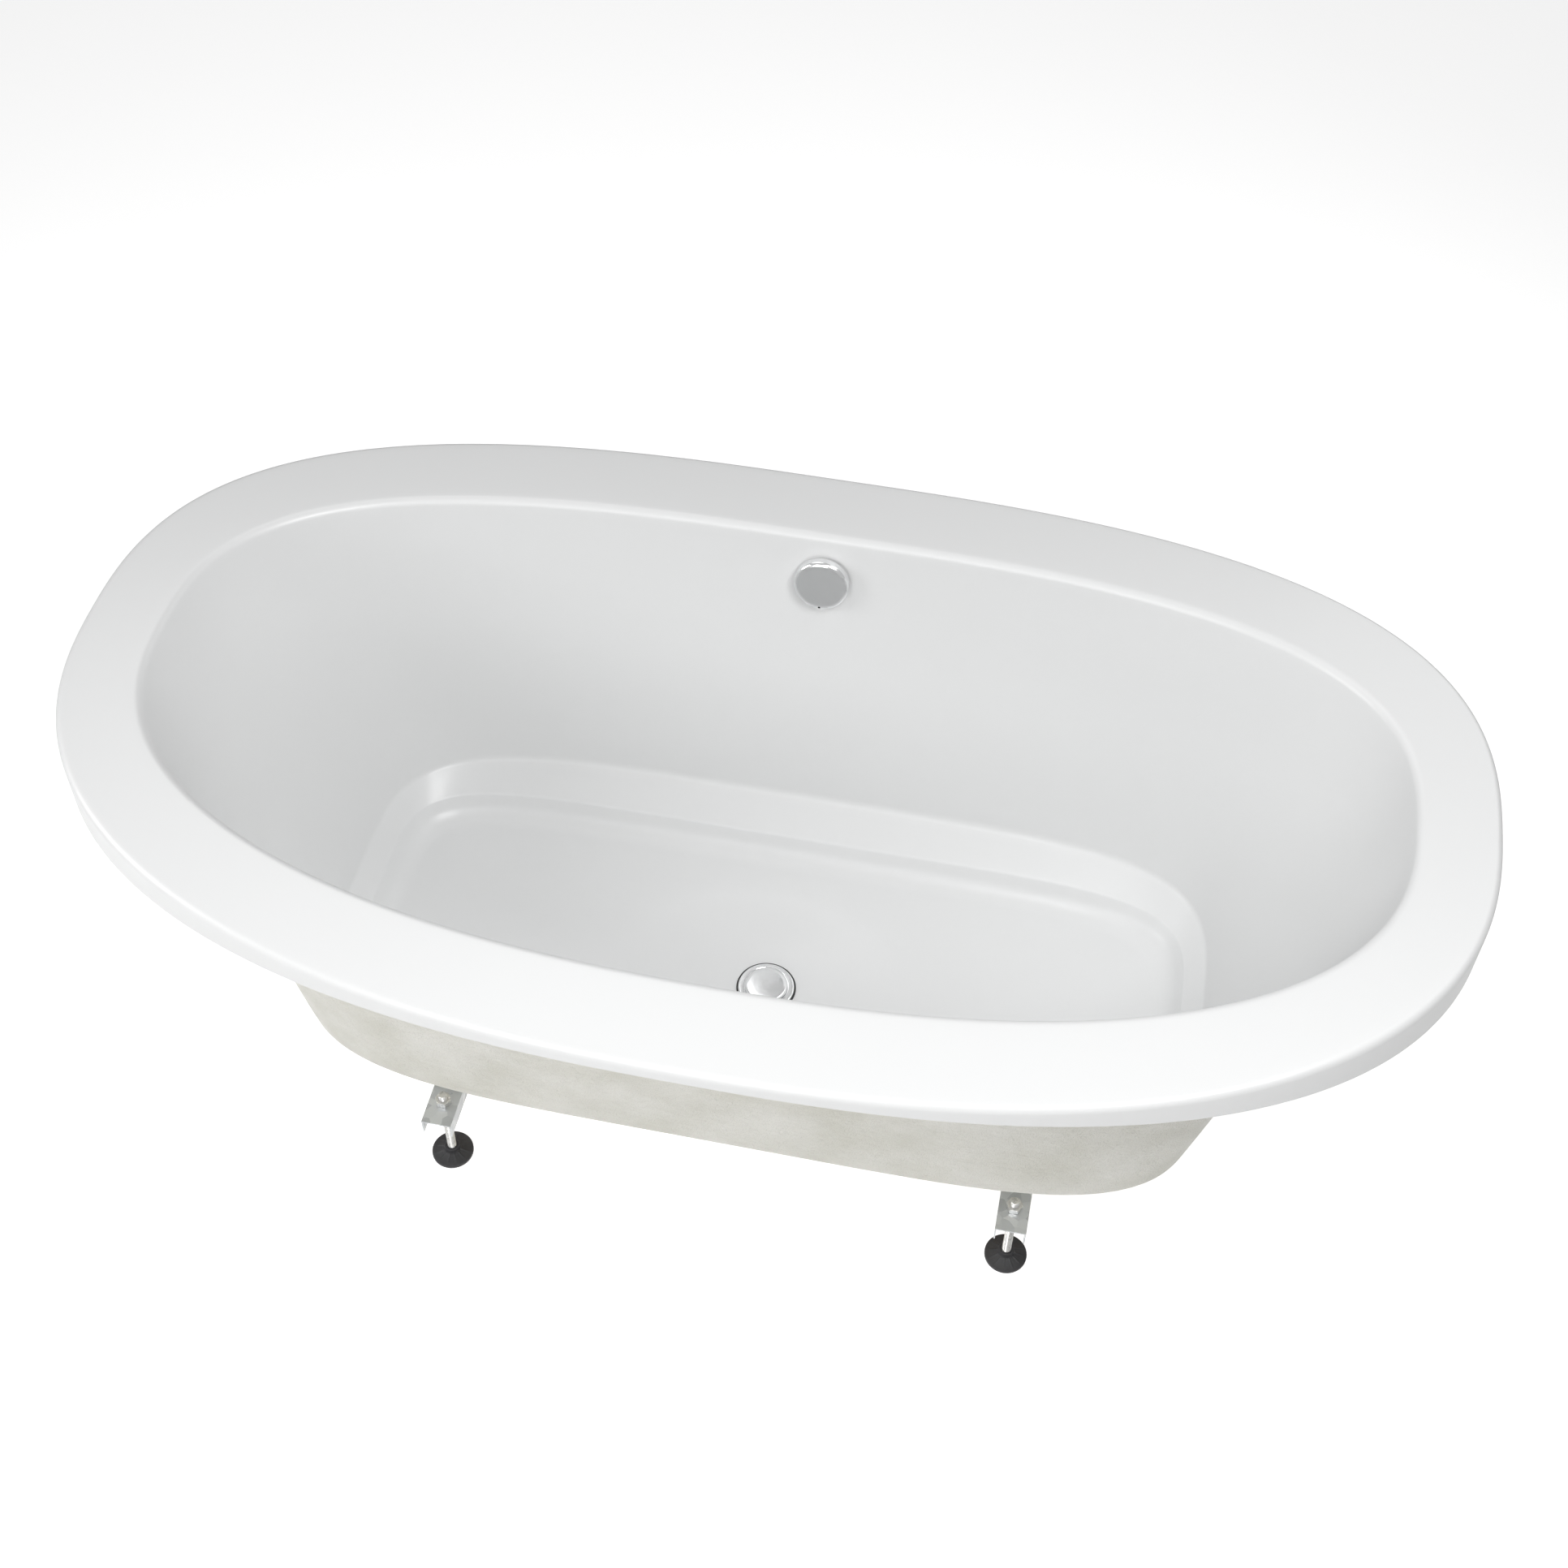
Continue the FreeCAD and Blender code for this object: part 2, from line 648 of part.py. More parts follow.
def across_pipe(label, x, z, radius, length, y=0.0, direction=X_AXIS):
    """A cylinder that lies along the given level direction."""
    return primitive("Cylinder", label, at(x, y, z, FreeCAD.Rotation(Z_AXIS, direction)),
                     Radius=radius, Height=length)


def waste_body():
    """The bowl under the drain: collar, outlet spigot, overflow port, lever boss and cable anchor."""
    bottom = body_top() - size("bowl_length")
    bowl = turned("waste_bowl", [
        (0, 0), ("bowl_radius - bowl_corner", 0), ("bowl_radius", "bowl_corner"),
        ("bowl_radius", "bowl_length - collar_thick - bowl_corner"),
        ("collar_radius - 1", "bowl_length - collar_thick"), ("collar_radius", "bowl_length - 2"),
        ("collar_radius", "bowl_length"), (0, "bowl_length")], at(z=bottom))
    spigot = primitive("Cylinder", "waste_spigot", at(z=bottom - size("spigot_length")),
                       Radius="pipe_radius - pipe_wall - fit", Height="spigot_length + bowl_corner")
    port = across_pipe("waste_port", 0, size("port_height"), "hose_radius - hose_wall - fit",
                       "port_reach", direction=Y_AXIS)
    boss = across_pipe("lever_boss", 12, size("lever_height"), "lever_shaft + 4", 21,
                       y=-size("lever_pivot"))
    anchor = primitive("Box", "cable_anchor", at(14, anchor_face(), crank_foot() - 4),
                       Length="crank_station - 8", Width=4, Height=15)
    solids = joined("waste_blank", [bowl, spigot, port, boss, anchor])
    inside = turned("waste_inside", [
        (0, 0), ("bowl_radius - bowl_wall - bowl_corner", 0), ("bowl_radius - bowl_wall", "bowl_corner"),
        ("bowl_radius - bowl_wall", "bowl_length - tail_length"),
        ("tail_radius + fit", "bowl_length - tail_length + 4"), ("tail_radius + fit", "bowl_length"),
        (0, "bowl_length")], at(z=bottom + size("bowl_wall")))
    drills = [
        primitive("Cylinder", "spigot_bore", at(z=bottom - size("spigot_length") - 1),
                  Radius="pipe_radius - 2 * pipe_wall", Height="spigot_length + bowl_wall + bowl_corner"),
        across_pipe("port_drill", 0, size("port_height"), "port_bore", "port_reach + 2",
                    direction=Y_AXIS),
        across_pipe("shaft_drill", -12, size("lever_height"), "lever_shaft + fit", 60,
                    y=-size("lever_pivot")),
        across_pipe("wire_drill", size("crank_station"), crank_foot(), "cable_bore", 12,
                    y=anchor_face() - 4, direction=Y_AXIS),
    ]
    cut("waste_body", solids, [inside] + drills)


def anchor_face():
    """How far behind the bowl's middle the cable anchor's near face is."""
    return size("lever_pivot")


def crank_foot():
    """The height of the crank's cable end, below the lever's shaft."""
    return size("lever_height") - size("crank_length")


def lifter_lever():
    """The shaft through the bowl's wall, with its finger under the stem and its forked crank outside."""
    y, height, station = -size("lever_pivot"), size("lever_height"), size("crank_station")
    half_finger = size("finger_width") / 2
    shaft = across_pipe("lever_shaft", -half_finger - 5, height, "lever_shaft",
                        "crank_station + finger_width + 5", y=y)
    finger = primitive("Box", "lever_finger", at(-half_finger, y, height + 0.5),
                       Length="finger_width", Width="lever_pivot + 5", Height=3)
    root = across_pipe("lever_root", -half_finger - 0.5, height, "lever_shaft + 2", "finger_width + 1", y=y)
    low = crank_foot() - size("crank_tail")
    crank = primitive("Box", "lever_crank",
                      at(station - size("crank_thick") / 2, y - size("crank_width") / 2, low),
                      Length="crank_thick", Width="crank_width", Height="crank_tail + crank_length + 4")
    fork = primitive("Box", "lever_fork",
                     at(station - size("fork_width") / 2, y - size("crank_width"), low - 1),
                     Length="fork_width", Width="2 * crank_width", Height="crank_tail + 4")
    cut("lifter_lever", joined("lever_blank", [shaft, finger, root, crank]), [fork])


def trap():
    """The running trap: a U under the bowl, an elbow up and to the back wall, and the outlet pipe."""
    radius, bore, bend = size("pipe_radius"), size("pipe_radius") - size("pipe_wall"), size("bend_radius")
    low, outlet = size("trap_depth"), size("trap_depth") + size("trap_rise")
    top, joint = body_top() - size("bowl_length") - 2, (low + outlet) / 2
    up_leg, elbow_end = -size("trap_width"), size("elbow_reach")
    bend_tube = tube([Vector(0, 0, top), Vector(0, 0, low), Vector(up_leg, 0, low),
                      Vector(up_leg, 0, joint)], [bend, bend], radius, bore)
    eye_foot, eye_way = Vector(up_leg / 2, 0, low), Y_AXIS * -1
    neck = Part.makeCylinder(size("eye_radius"), radius + size("eye_neck"), eye_foot, eye_way)
    throat = Part.makeCylinder(bore, size("trap_width"), Vector(up_leg, 0, low), X_AXIS)
    eye = Part.makeCylinder(size("eye_bore"), radius + size("eye_neck") + 1, eye_foot, eye_way)
    shaped("trap_bend", bend_tube.fuse(neck.cut(throat)).cut(eye))
    shaped("outlet_elbow", tube(
        [Vector(up_leg, 0, joint + size("pipe_gap")), Vector(up_leg, 0, outlet),
         Vector(up_leg, elbow_end, outlet)], [bend], radius, bore))
    outlet_pipe(up_leg, elbow_end + size("pipe_gap"), outlet)
    sleeve = [("pipe_radius + fit", 0), ("nut_radius - 1", 0), ("nut_radius", 1),
              ("nut_radius", "nut_length - 1"), ("nut_radius - 1", "nut_length"),
              ("pipe_radius + fit", "nut_length")]
    half_nut = size("nut_length") / 2
    turned("trap_inlet_nut", sleeve, at(z=top - size("nut_length")))
    turned("trap_joint_nut", sleeve, at(up_leg, 0, joint - half_nut))
    turned("outlet_nut", sleeve,
           at(up_leg, elbow_end - half_nut, outlet, FreeCAD.Rotation(Z_AXIS, Y_AXIS)))
    cleaning_eye(up_leg / 2, low)


def outlet_pipe(x, start, height):
    """The pipe to the drain, relieved at the end that the nut's seal grips."""
    inner, relieved, covered = "pipe_radius - pipe_wall", "pipe_radius - pipe_relief", "nut_length / 2"
    length = "outlet_end - elbow_reach - pipe_gap"
    turned("outlet_pipe", [
        (inner, 0), (relieved, 0), (relieved, covered), ("pipe_radius", covered),
        ("pipe_radius", length), (inner, length)],
        at(x, start, height, FreeCAD.Rotation(Z_AXIS, Y_AXIS)))


def cleaning_eye(x, height):
    """The screw cap at the side of the trap's lowest point."""
    bore, inside = "eye_radius + fit", "eye_neck"
    turned("cleaning_cap", [
        (bore, 0), ("eye_cap_radius", 0), ("eye_cap_radius", "eye_cap_tall - 2"),
        ("eye_cap_radius - 2", "eye_cap_tall"), (0, "eye_cap_tall"), (0, inside), (bore, inside)],
        at(x, -size("pipe_radius") - size("pipe_gap"), height, FreeCAD.Rotation(Z_AXIS, Y_AXIS * -1)))


# ---------------------------------------------------------------- the overflow
def overflow():
    """Everything on the back wall: knob, spindle, clamp plate, seals, housing, drum and screws."""
    place = overflow_frame()
    back = skin_underside() + size("housing_gasket_thick")
    floor = -back - size("housing_deep") + size("housing_wall")
    rim = "knob_tall - knob_wall"
    knob = turned("knob_blank", [
        (0, 3), ("spindle_radius + fit", 3), ("spindle_radius + 4", 0), ("spindle_radius + 6", 0),
        ("spindle_radius + 6", 4), ("knob_radius - knob_wall", 4), ("knob_radius - 3", 0),
        ("knob_radius", 0), ("knob_radius", rim), ("knob_radius - 7", "knob_tall"),
        (0, "knob_tall - 1")], place * at(z=size("knob_gap")))
    round_edges(knob, 3, ring_at(size("knob_radius"), size("knob_tall") - size("knob_wall")))
    grip = primitive("Box", "knob_grip", place * at(
        -size("knob_radius"), size("grip_station"), size("knob_gap") + size("knob_tall"),
        FreeCAD.Rotation(X_AXIS, -size("grip_slope"))),
        Length="2 * knob_radius", Width="knob_radius", Height="knob_radius")
    cut("overflow_knob", knob, [grip])
    spindle_foot = floor - size("housing_wall") - size("spindle_end")
    spindle_length = size("knob_gap") + 2.9 - spindle_foot
    turned("knob_spindle", [
        (0, 0), ("spindle_radius", 0), ("spindle_radius", spindle_length), (0, spindle_length)],
        place * at(z=spindle_foot))
    washer("overflow_gasket", "plate_radius", "overflow_hole - 1", "knob_gasket_thick", place)
    clamp_plate(place)
    washer("housing_gasket", "plate_radius", "overflow_hole", "housing_gasket_thick",
           place * at(z=-back))
    overflow_housing(place, back)
    flange, groove = "drum_radius + 3", "drum_radius"
    turned("cable_drum", [
        ("spindle_radius + fit", 0), (flange, 0), (flange, 1.5), (groove, 2.5), (groove, "drum_tall - 2.5"),
        (flange, "drum_tall - 1.5"), (flange, "drum_tall"), ("spindle_radius + fit", "drum_tall")],
        place * at(z=floor + size("bond_gap")))
    clamp_screws(place)


def clamp_plate(place):
    """The plate behind the knob, open for the water, which clamps the housing to the wall."""
    foot = size("knob_gasket_thick")
    ring = turned("clamp_ring", [
        ("overflow_hole - 8", 0), ("plate_radius", 0), ("plate_radius", "plate_thick - 1"),
        ("plate_radius - 1", "plate_thick"), ("overflow_hole - 8", "plate_thick")],
        place * at(z=foot))
    bush = primitive("Cylinder", "clamp_bush", place * at(z=foot), Radius="spindle_radius + 3",
                     Height="plate_thick")
    arms = [primitive("Box", "clamp_arm",
                      place * at(z=foot, rotation=FreeCAD.Rotation(Z_AXIS, 60 + 120 * i)) * at(y=-2),
                      Length="overflow_hole - 6", Width=4, Height="plate_thick") for i in range(3)]
    bore = primitive("Cylinder", "clamp_bore", place * at(z=-5), Radius="spindle_radius + fit",
                     Height=20)
    holes = [primitive("Cylinder", "clamp_screw_hole", place * at(x=x, z=-5),
                       Radius="clamp_screw_radius + fit", Height=20) for x in screw_columns()]
    cut("clamp_plate", joined("clamp_blank", [ring, bush] + arms), [bore] + holes)


def screw_columns():
    reach = size("overflow_hole") - size("clamp_screw_inset")
    return (-reach, reach)


def clamp_screws(place):
    """The two screws from the clamp plate into the housing's bosses."""
    shank, head = "skin + laminate_skin + 14", "clamp_screw_head"
    foot = size("knob_gasket_thick") + size("plate_thick") - size("skin") - size("laminate_skin") - 13.9
    screws = [turned("clamp_screw", [
        (0, 0), ("clamp_screw_radius", 0), ("clamp_screw_radius", shank), (head, shank),
        (head, shank + " + 1"), (head + " - 1.2", shank + " + 3"), (0, shank + " + 3")],
        place * at(x=x, z=foot)) for x in screw_columns()]
    group("clamp_screws", screws)


def overflow_housing(place, back):
    """The box behind the wall that takes the overflow water and holds the cable drum."""
    bottom = -back - size("housing_deep")
    cup = turned("housing_cup", [
        (0, 0), ("housing_radius - housing_wall", 0), ("housing_radius", "housing_wall"),
        ("housing_radius", "housing_deep"), (0, "housing_deep")], place * at(z=bottom))
    inner = "housing_radius - housing_wall"
    inside = turned("housing_inside", [
        (0, 0), (inner + " - housing_wall", 0), (inner, "housing_wall"), (inner, "housing_deep"),
        (0, "housing_deep")], place * at(z=bottom + size("housing_wall")))
    bosses = [primitive("Cylinder", "housing_boss", place * at(x=x, z=bottom + 2),
                        Radius="clamp_screw_radius + 1.9", Height="housing_deep - 2")
              for x in screw_columns()]
    threads = [primitive("Cylinder", "housing_thread", place * at(x=x, z=bottom - 8),
                         Radius="clamp_screw_radius + fit", Height="housing_deep + 9")
               for x in screw_columns()]
    outlet_y = hose_column()
    top = place.Base.z - 10
    spigot = primitive("Cylinder", "housing_spigot", at(0, outlet_y, hose_top() - 2),
                       Radius="hose_radius - hose_wall - fit", Height=top - hose_top())
    drain = primitive("Cylinder", "housing_drain", at(0, outlet_y, hose_top() - 4),
                      Radius="port_bore", Height=top - hose_top() + 2)
    lead_in = primitive("Cylinder", "cable_lead_in", at(size("cable_offset"), outlet_y, hose_top() + 12),
                        Radius="cable_radius + 2", Height=top - hose_top() - 12)
    lead_bore = primitive("Cylinder", "cable_lead_bore",
                          at(size("cable_offset"), outlet_y, hose_top() + 10),
                          Radius="cable_bore", Height=top - hose_top() - 6)
    axle = primitive("Cylinder", "housing_axle_bore", place * at(z=bottom - 1),
                     Radius="spindle_radius + fit", Height="housing_deep")
    hollow = joined("housing_outside", [
        cut("housing_shell", joined("housing_blank", [cup, spigot, lead_in]), [inside])] + bosses)
    cut("overflow_housing", hollow, [drain, lead_bore, axle] + threads)


def hose_column():
    """The hose's distance behind the bath's middle: under the housing's own middle."""
    middle = -skin_underside() - size("housing_gasket_thick") - size("housing_deep") / 2
    return (overflow_frame() * at(z=middle)).Base.y


def hose_top():
    return overflow_frame().Base.z - size("housing_radius") - 20


def overflow_hose():
    """The hose from the housing down behind the wall and forward to the waste bowl."""
    y, end = hose_column(), size("port_reach") - size("hose_overlap")
    height = size("port_height")
    shaped("overflow_hose", tube(
        [Vector(0, y, hose_top() + size("hose_overlap") - 2), Vector(0, y, height),
         Vector(0, end, height)],
        [size("hose_bend")], size("hose_radius"), size("hose_radius") - size("hose_wall")))
    collar = [("hose_radius + fit", 0), ("hose_radius + 3", 0), ("hose_radius + 4", 1),
              ("hose_radius + 4", "clamp_length - 1"), ("hose_radius + 3", "clamp_length"),
              ("hose_radius + fit", "clamp_length")]
    turned("hose_clamp_upper", collar, at(0, y, hose_top() - 2))
    turned("hose_clamp_lower", collar, at(0, end + 1, height, FreeCAD.Rotation(Z_AXIS, Y_AXIS)))


def cable_route():
    """The cable's points: down beside the hose, round under the floor and across to the anchor."""
    side, y = size("cable_offset"), hose_column()
    height, anchor = size("port_height"), size("crank_station")
    return [Vector(side, y, hose_top() + 11.7), Vector(side, y, height), Vector(side, 190, height),
            Vector(anchor, 100, crank_foot()), Vector(anchor, anchor_face() + 4.3, crank_foot())]


def cable():
    """The sheath that the clips hold to the hose, and the wire whose bead pulls the crank's fork."""
    radii = [size("hose_bend"), 110, 90]
    shaped("cable_sheath", tube(cable_route(), radii, size("cable_radius"), size("cable_bore")))
    bead_length, play = 3, 0.5
    start = -size("lever_pivot") - size("crank_width") / 2 - play - bead_length
    station, height = size("crank_station"), crank_foot()
    wire = across_pipe("wire_strand", station, height, "wire_radius", 63, y=start, direction=Y_AXIS)
    bead = across_pipe("wire_bead", station, height, "bead_radius", bead_length, y=start,
                       direction=Y_AXIS)
    joined("inner_wire", [wire, bead])


def cable_clips():
    """Moulded clips that hold the cable beside the hose."""
    side, y = size("cable_offset"), hose_column()
    heights = [size("port_height") + share * (hose_top() - size("port_height"))
               for share in (0.25, 0.55, 0.85)]
    clips = []
    for z in heights:
        ring = primitive("Cylinder", "clip_ring", at(0, y, z), Radius="hose_radius + 2", Height=8)
        small = primitive("Cylinder", "clip_small", at(side, y, z), Radius="cable_radius + 1.6", Height=8)
        bridge = primitive("Box", "clip_bridge", at(12, y - 1.5, z), Length="cable_offset - 13", Width=3,
                           Height=8)
        bores = [primitive("Cylinder", "clip_bore", at(x, y, z - 1), Radius=radius, Height=10)
                 for x, radius in ((0, "hose_radius + fit"), (side, "cable_radius + fit"))]
        clips.append(cut("cable_clip", joined("clip_blank", [ring, small, bridge]), bores))
    group("cable_clips", clips)


# ---------------------------------------------------------------- the assembly
def build():
    fill_sheet()
    bath_shell()
    reinforcement()
    for side, sign in (("left", -1), ("right", 1)):
        base_board(side, sign)
        crossbar(side, sign)
    board_screws()
    bar_nuts()
    feet()
    flange_gasket()
    waste_flange()
    plug()
    body_gasket()
    waste_body()
    lifter_lever()
    trap()
    overflow()
    overflow_hose()
    cable()
    cable_clips()
    doc.recompute()


NODES = [
    "bath_shell", "reinforcement_laminate", "base_board_left", "base_board_right",
    "crossbar_left", "crossbar_right", "board_screws", "bar_nuts",
    "foot_rod_front_left", "foot_rod_back_left", "foot_rod_front_right", "foot_rod_back_right",
    "foot_pad_front_left", "foot_pad_back_left", "foot_pad_front_right", "foot_pad_back_right",
    "flange_gasket", "waste_flange", "plug_cap", "plug_stem", "plug_seal", "body_gasket",
    "waste_body", "lifter_lever", "trap_inlet_nut", "trap_bend", "trap_joint_nut", "outlet_elbow",
    "outlet_nut", "outlet_pipe", "cleaning_cap", "overflow_knob", "knob_spindle", "overflow_gasket",
    "clamp_plate", "clamp_screws", "housing_gasket", "overflow_housing", "cable_drum",
    "overflow_hose", "hose_clamp_upper", "hose_clamp_lower", "cable_sheath", "inner_wire",
    "cable_clips",
]


def write():
    """Checks every object, then writes each node's file."""
    for piece in doc.Objects:
        if "Invalid" in piece.State or "Error" in piece.State:
            raise RuntimeError("%s: %s" % (piece.Label, piece.State))
    os.makedirs("parts", exist_ok=True)
    for node in NODES:
        shape = doc.getObjectsByLabel(node)[0].Shape
        if shape.isNull() or not shape.isValid() or not shape.Solids:
            raise RuntimeError(node + " has no valid shape")
        shape.exportStep("parts/%s.step" % node)
        print("%-24s %2d solid(s) %12.1f mm3  %s" % (node, len(shape.Solids), shape.Volume,
                                                     shape.BoundBox))


build()
write()
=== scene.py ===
import json
from math import atan2, ceil, cos, degrees, pi, radians, sin

import bpy
import numpy as np
from mathutils import Matrix, Vector


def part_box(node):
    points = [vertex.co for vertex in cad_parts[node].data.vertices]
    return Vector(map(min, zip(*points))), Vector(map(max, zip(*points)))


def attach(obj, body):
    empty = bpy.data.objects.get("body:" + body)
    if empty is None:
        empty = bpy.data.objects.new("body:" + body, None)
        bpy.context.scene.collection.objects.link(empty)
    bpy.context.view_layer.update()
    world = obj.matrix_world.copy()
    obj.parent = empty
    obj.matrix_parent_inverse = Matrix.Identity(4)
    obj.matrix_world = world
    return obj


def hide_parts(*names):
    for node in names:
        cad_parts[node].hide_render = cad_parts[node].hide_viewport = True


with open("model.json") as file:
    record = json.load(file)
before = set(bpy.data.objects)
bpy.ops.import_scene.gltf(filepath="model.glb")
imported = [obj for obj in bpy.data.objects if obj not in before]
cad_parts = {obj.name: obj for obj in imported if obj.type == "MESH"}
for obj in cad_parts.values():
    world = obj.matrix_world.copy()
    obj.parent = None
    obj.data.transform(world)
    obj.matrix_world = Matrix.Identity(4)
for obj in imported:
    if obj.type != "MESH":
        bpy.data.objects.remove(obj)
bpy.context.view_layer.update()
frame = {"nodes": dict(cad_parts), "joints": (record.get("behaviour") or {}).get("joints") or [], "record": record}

# An oval acrylic bath on its cradle. Metres, in the model's own frame: X along the bath, Y towards
# the wall with the overflow, Z up from the floor. The sizes are those of the CAD model.

MM = 0.001
FIT = 0.06 * MM  # between a bore and what turns or slides in it

# The skin: its outline, the rings of its profile by their depth under the rim, and the folds there
HALF_LENGTH, HALF_WIDTH, OUTLINE_POWER = 850 * MM, 480 * MM, 2.5
RIM_HEIGHT, END_RISE, LIP_TALL = 645 * MM, 50 * MM, 20 * MM
RIM_END, RIM_SIDE, WELL_POWER = 92 * MM, 120 * MM, 2.55
FOOT_HALF, FOOT_SIDE, FOOT_POWER, FOOT_DEPTH = 586 * MM, 289 * MM, 4.6, 442 * MM
LEDGE_END, LEDGE_SIDE, LEDGE_POWER, LEDGE_DEPTH = 27 * MM, 58 * MM, 5.9, 468 * MM
STEP_REACH, FLOOR_DEPTH = 16 * MM, 495 * MM
WALL_TOP, WALL_FOOT, STEP = (161, 172), (166, 177), (150, 150)  # degrees, at the ends and the sides
DISH_HALF, DISH_SIDE, DISH_POWER = 210 * MM, 165 * MM, 2.3
SEAT_RADIUS, SEAT_DEPTH, DRAIN_HOLE = 46 * MM, 515 * MM, 26.2 * MM
OUTER_FOLD, INNER_FOLD, FOOT_FOLD, LEDGE_FOLD, FLOOR_FOLD = 9 * MM, 12 * MM, 14 * MM, 10 * MM, 34 * MM
SKIN, BOND, LAMINATE = 5 * MM, 0.3 * MM, 3 * MM
AROUND = 512  # points round each ring

# The cradle
CORNERS = ("front_left", "back_left", "front_right", "back_right")
ROD_RADIUS, THREAD_PITCH, THREAD_DEPTH = 6 * MM, 1.75 * MM, 0.9 * MM
NUT_FLATS, NUT_TALL = 19 * MM, 9 * MM
PAD_RADIUS, PAD_TALL = 28 * MM, 18 * MM

# The waste
PIPE_RADIUS, UNION_RADIUS, UNION_LENGTH = 20 * MM, 27 * MM, 14 * MM
EYE_BORE, EYE_CAP_RADIUS = 11 * MM, 14 * MM
STEM_RADIUS, THROAT, TAIL_RADIUS = 4 * MM, 22.5 * MM, 25 * MM
FLANGE_THICK, GROOVE_RADIUS, GROOVE_DEPTH = 3 * MM, 31.5 * MM, 1.2 * MM
HUB_RADIUS, HUB_TALL, ARM_THICK, ARM_TALL = 7 * MM, 7 * MM, 2.5 * MM, 5 * MM

# The overflow
OVERFLOW_HOLE, SPINDLE_RADIUS = 27 * MM, 5 * MM
KNOB_RADIUS, KNOB_GAP, KNOB_TALL = 37 * MM, 5 * MM, 15 * MM
GRIP_STATION, GRIP_SLOPE, GRIP_ARCH = 24 * MM, radians(42), 120 * MM
HOSE_RADIUS, HOSE_BORE, HOSE_LEVEL, HOSE_BEND = 12 * MM, 9.8 * MM, 90 * MM, 80 * MM
RING_PITCH, RING_DEPTH, CUFF = 4 * MM, 1.6 * MM, 18 * MM
CLAMP_RADIUS, CLAMP_LENGTH = 16 * MM, 12 * MM


# ---------------------------------------------------------------- camera and light
def look_from(target, azimuth, elevation, roll, distance, focal):
    """A camera that looks at target from azimuth round from -Y and elevation above level."""
    a, e, r = radians(azimuth), radians(elevation), radians(roll)
    back = Vector((sin(a) * cos(e), -cos(a) * cos(e), sin(e)))
    right = Vector((cos(a), sin(a), 0))
    up = back.cross(right)
    across = cos(r) * right + sin(r) * up
    upward = cos(r) * up - sin(r) * right
    data = bpy.data.cameras.new("camera")
    data.sensor_width = 36
    data.lens = focal
    data.clip_end = 50
    camera = bpy.data.objects.new("camera", data)
    bpy.context.scene.collection.objects.link(camera)
    turn = Matrix((across, upward, back)).transposed().to_4x4()
    camera.matrix_world = Matrix.Translation(target + back * distance) @ turn
    bpy.context.scene.camera = camera


def soft_box(name, place, side, power):
    """A square lamp that faces the bath."""
    data = bpy.data.lights.new(name, "AREA")
    data.shape = "SQUARE"
    data.size = side
    data.energy = power
    lamp = bpy.data.objects.new(name, data)
    bpy.context.scene.collection.objects.link(lamp)
    lamp.location = place
    aim = Vector((0, 0, 0.5)) - Vector(place)
    lamp.rotation_euler = aim.to_track_quat("-Z", "Y").to_euler()


def light_studio():
    """Soft boxes round the bath, the strongest above its front right."""
    soft_box("key", (0.75, -0.85, 2.25), 0.9, 25)
    soft_box("front", (-0.40, -1.60, 1.55), 1.0, 11)
    soft_box("left", (-1.95, -0.75, 1.55), 1.0, 16.5)
    soft_box("back_above", (-0.70, 0.90, 2.25), 1.0, 5)
    soft_box("right_above", (1.10, 0.50, 2.25), 1.0, 4)
    soft_box("back", (1.10, 1.45, 1.55), 1.0, 4.5)


def pale_room():
    """Walls out of sight that the camera and the gloss see as pale, and that light the bath little."""
    world = bpy.data.worlds.new("room")
    bpy.context.scene.world = world
    world.use_nodes = True
    nodes, links = world.node_tree.nodes, world.node_tree.links
    walls = nodes["Background"]
    walls.inputs["Color"].default_value = (0.90, 0.90, 0.90, 1)
    rays = nodes.new("ShaderNodeLightPath").outputs
    in_gloss, to_camera = nodes.new("ShaderNodeMath"), nodes.new("ShaderNodeMath")
    for level, ray, strength in ((in_gloss, "Is Glossy Ray", 0.56), (to_camera, "Is Camera Ray", 1.0)):
        level.operation = "MULTIPLY_ADD"
        level.inputs[1].default_value = strength
        links.new(rays[ray], level.inputs[0])
    in_gloss.inputs[2].default_value = 0.03
    links.new(in_gloss.outputs["Value"], to_camera.inputs[2])
    links.new(to_camera.outputs["Value"], walls.inputs["Strength"])


def lay_floor():
    """A white sweep, lit a little from within so that it stays white up to the bath's shadow."""
    bpy.ops.mesh.primitive_plane_add(size=40)
    floor = bpy.context.object
    floor.name = "floor"
    paper = Finish("floor_paper", (0.80, 0.80, 0.80), 0.85)
    paper.vary_roughness(3, 0.8, 0.9)
    paper.shader.inputs["Emission Color"].default_value = (1, 1, 1, 1)
    eye = paper.nodes.new("ShaderNodeLightPath").outputs["Is Camera Ray"]
    glow = paper.spread(eye, 0.48, 0.78, 0.0, 1.0)
    paper.links.new(glow, paper.shader.inputs["Emission Strength"])
    floor.data.materials.append(paper.material)


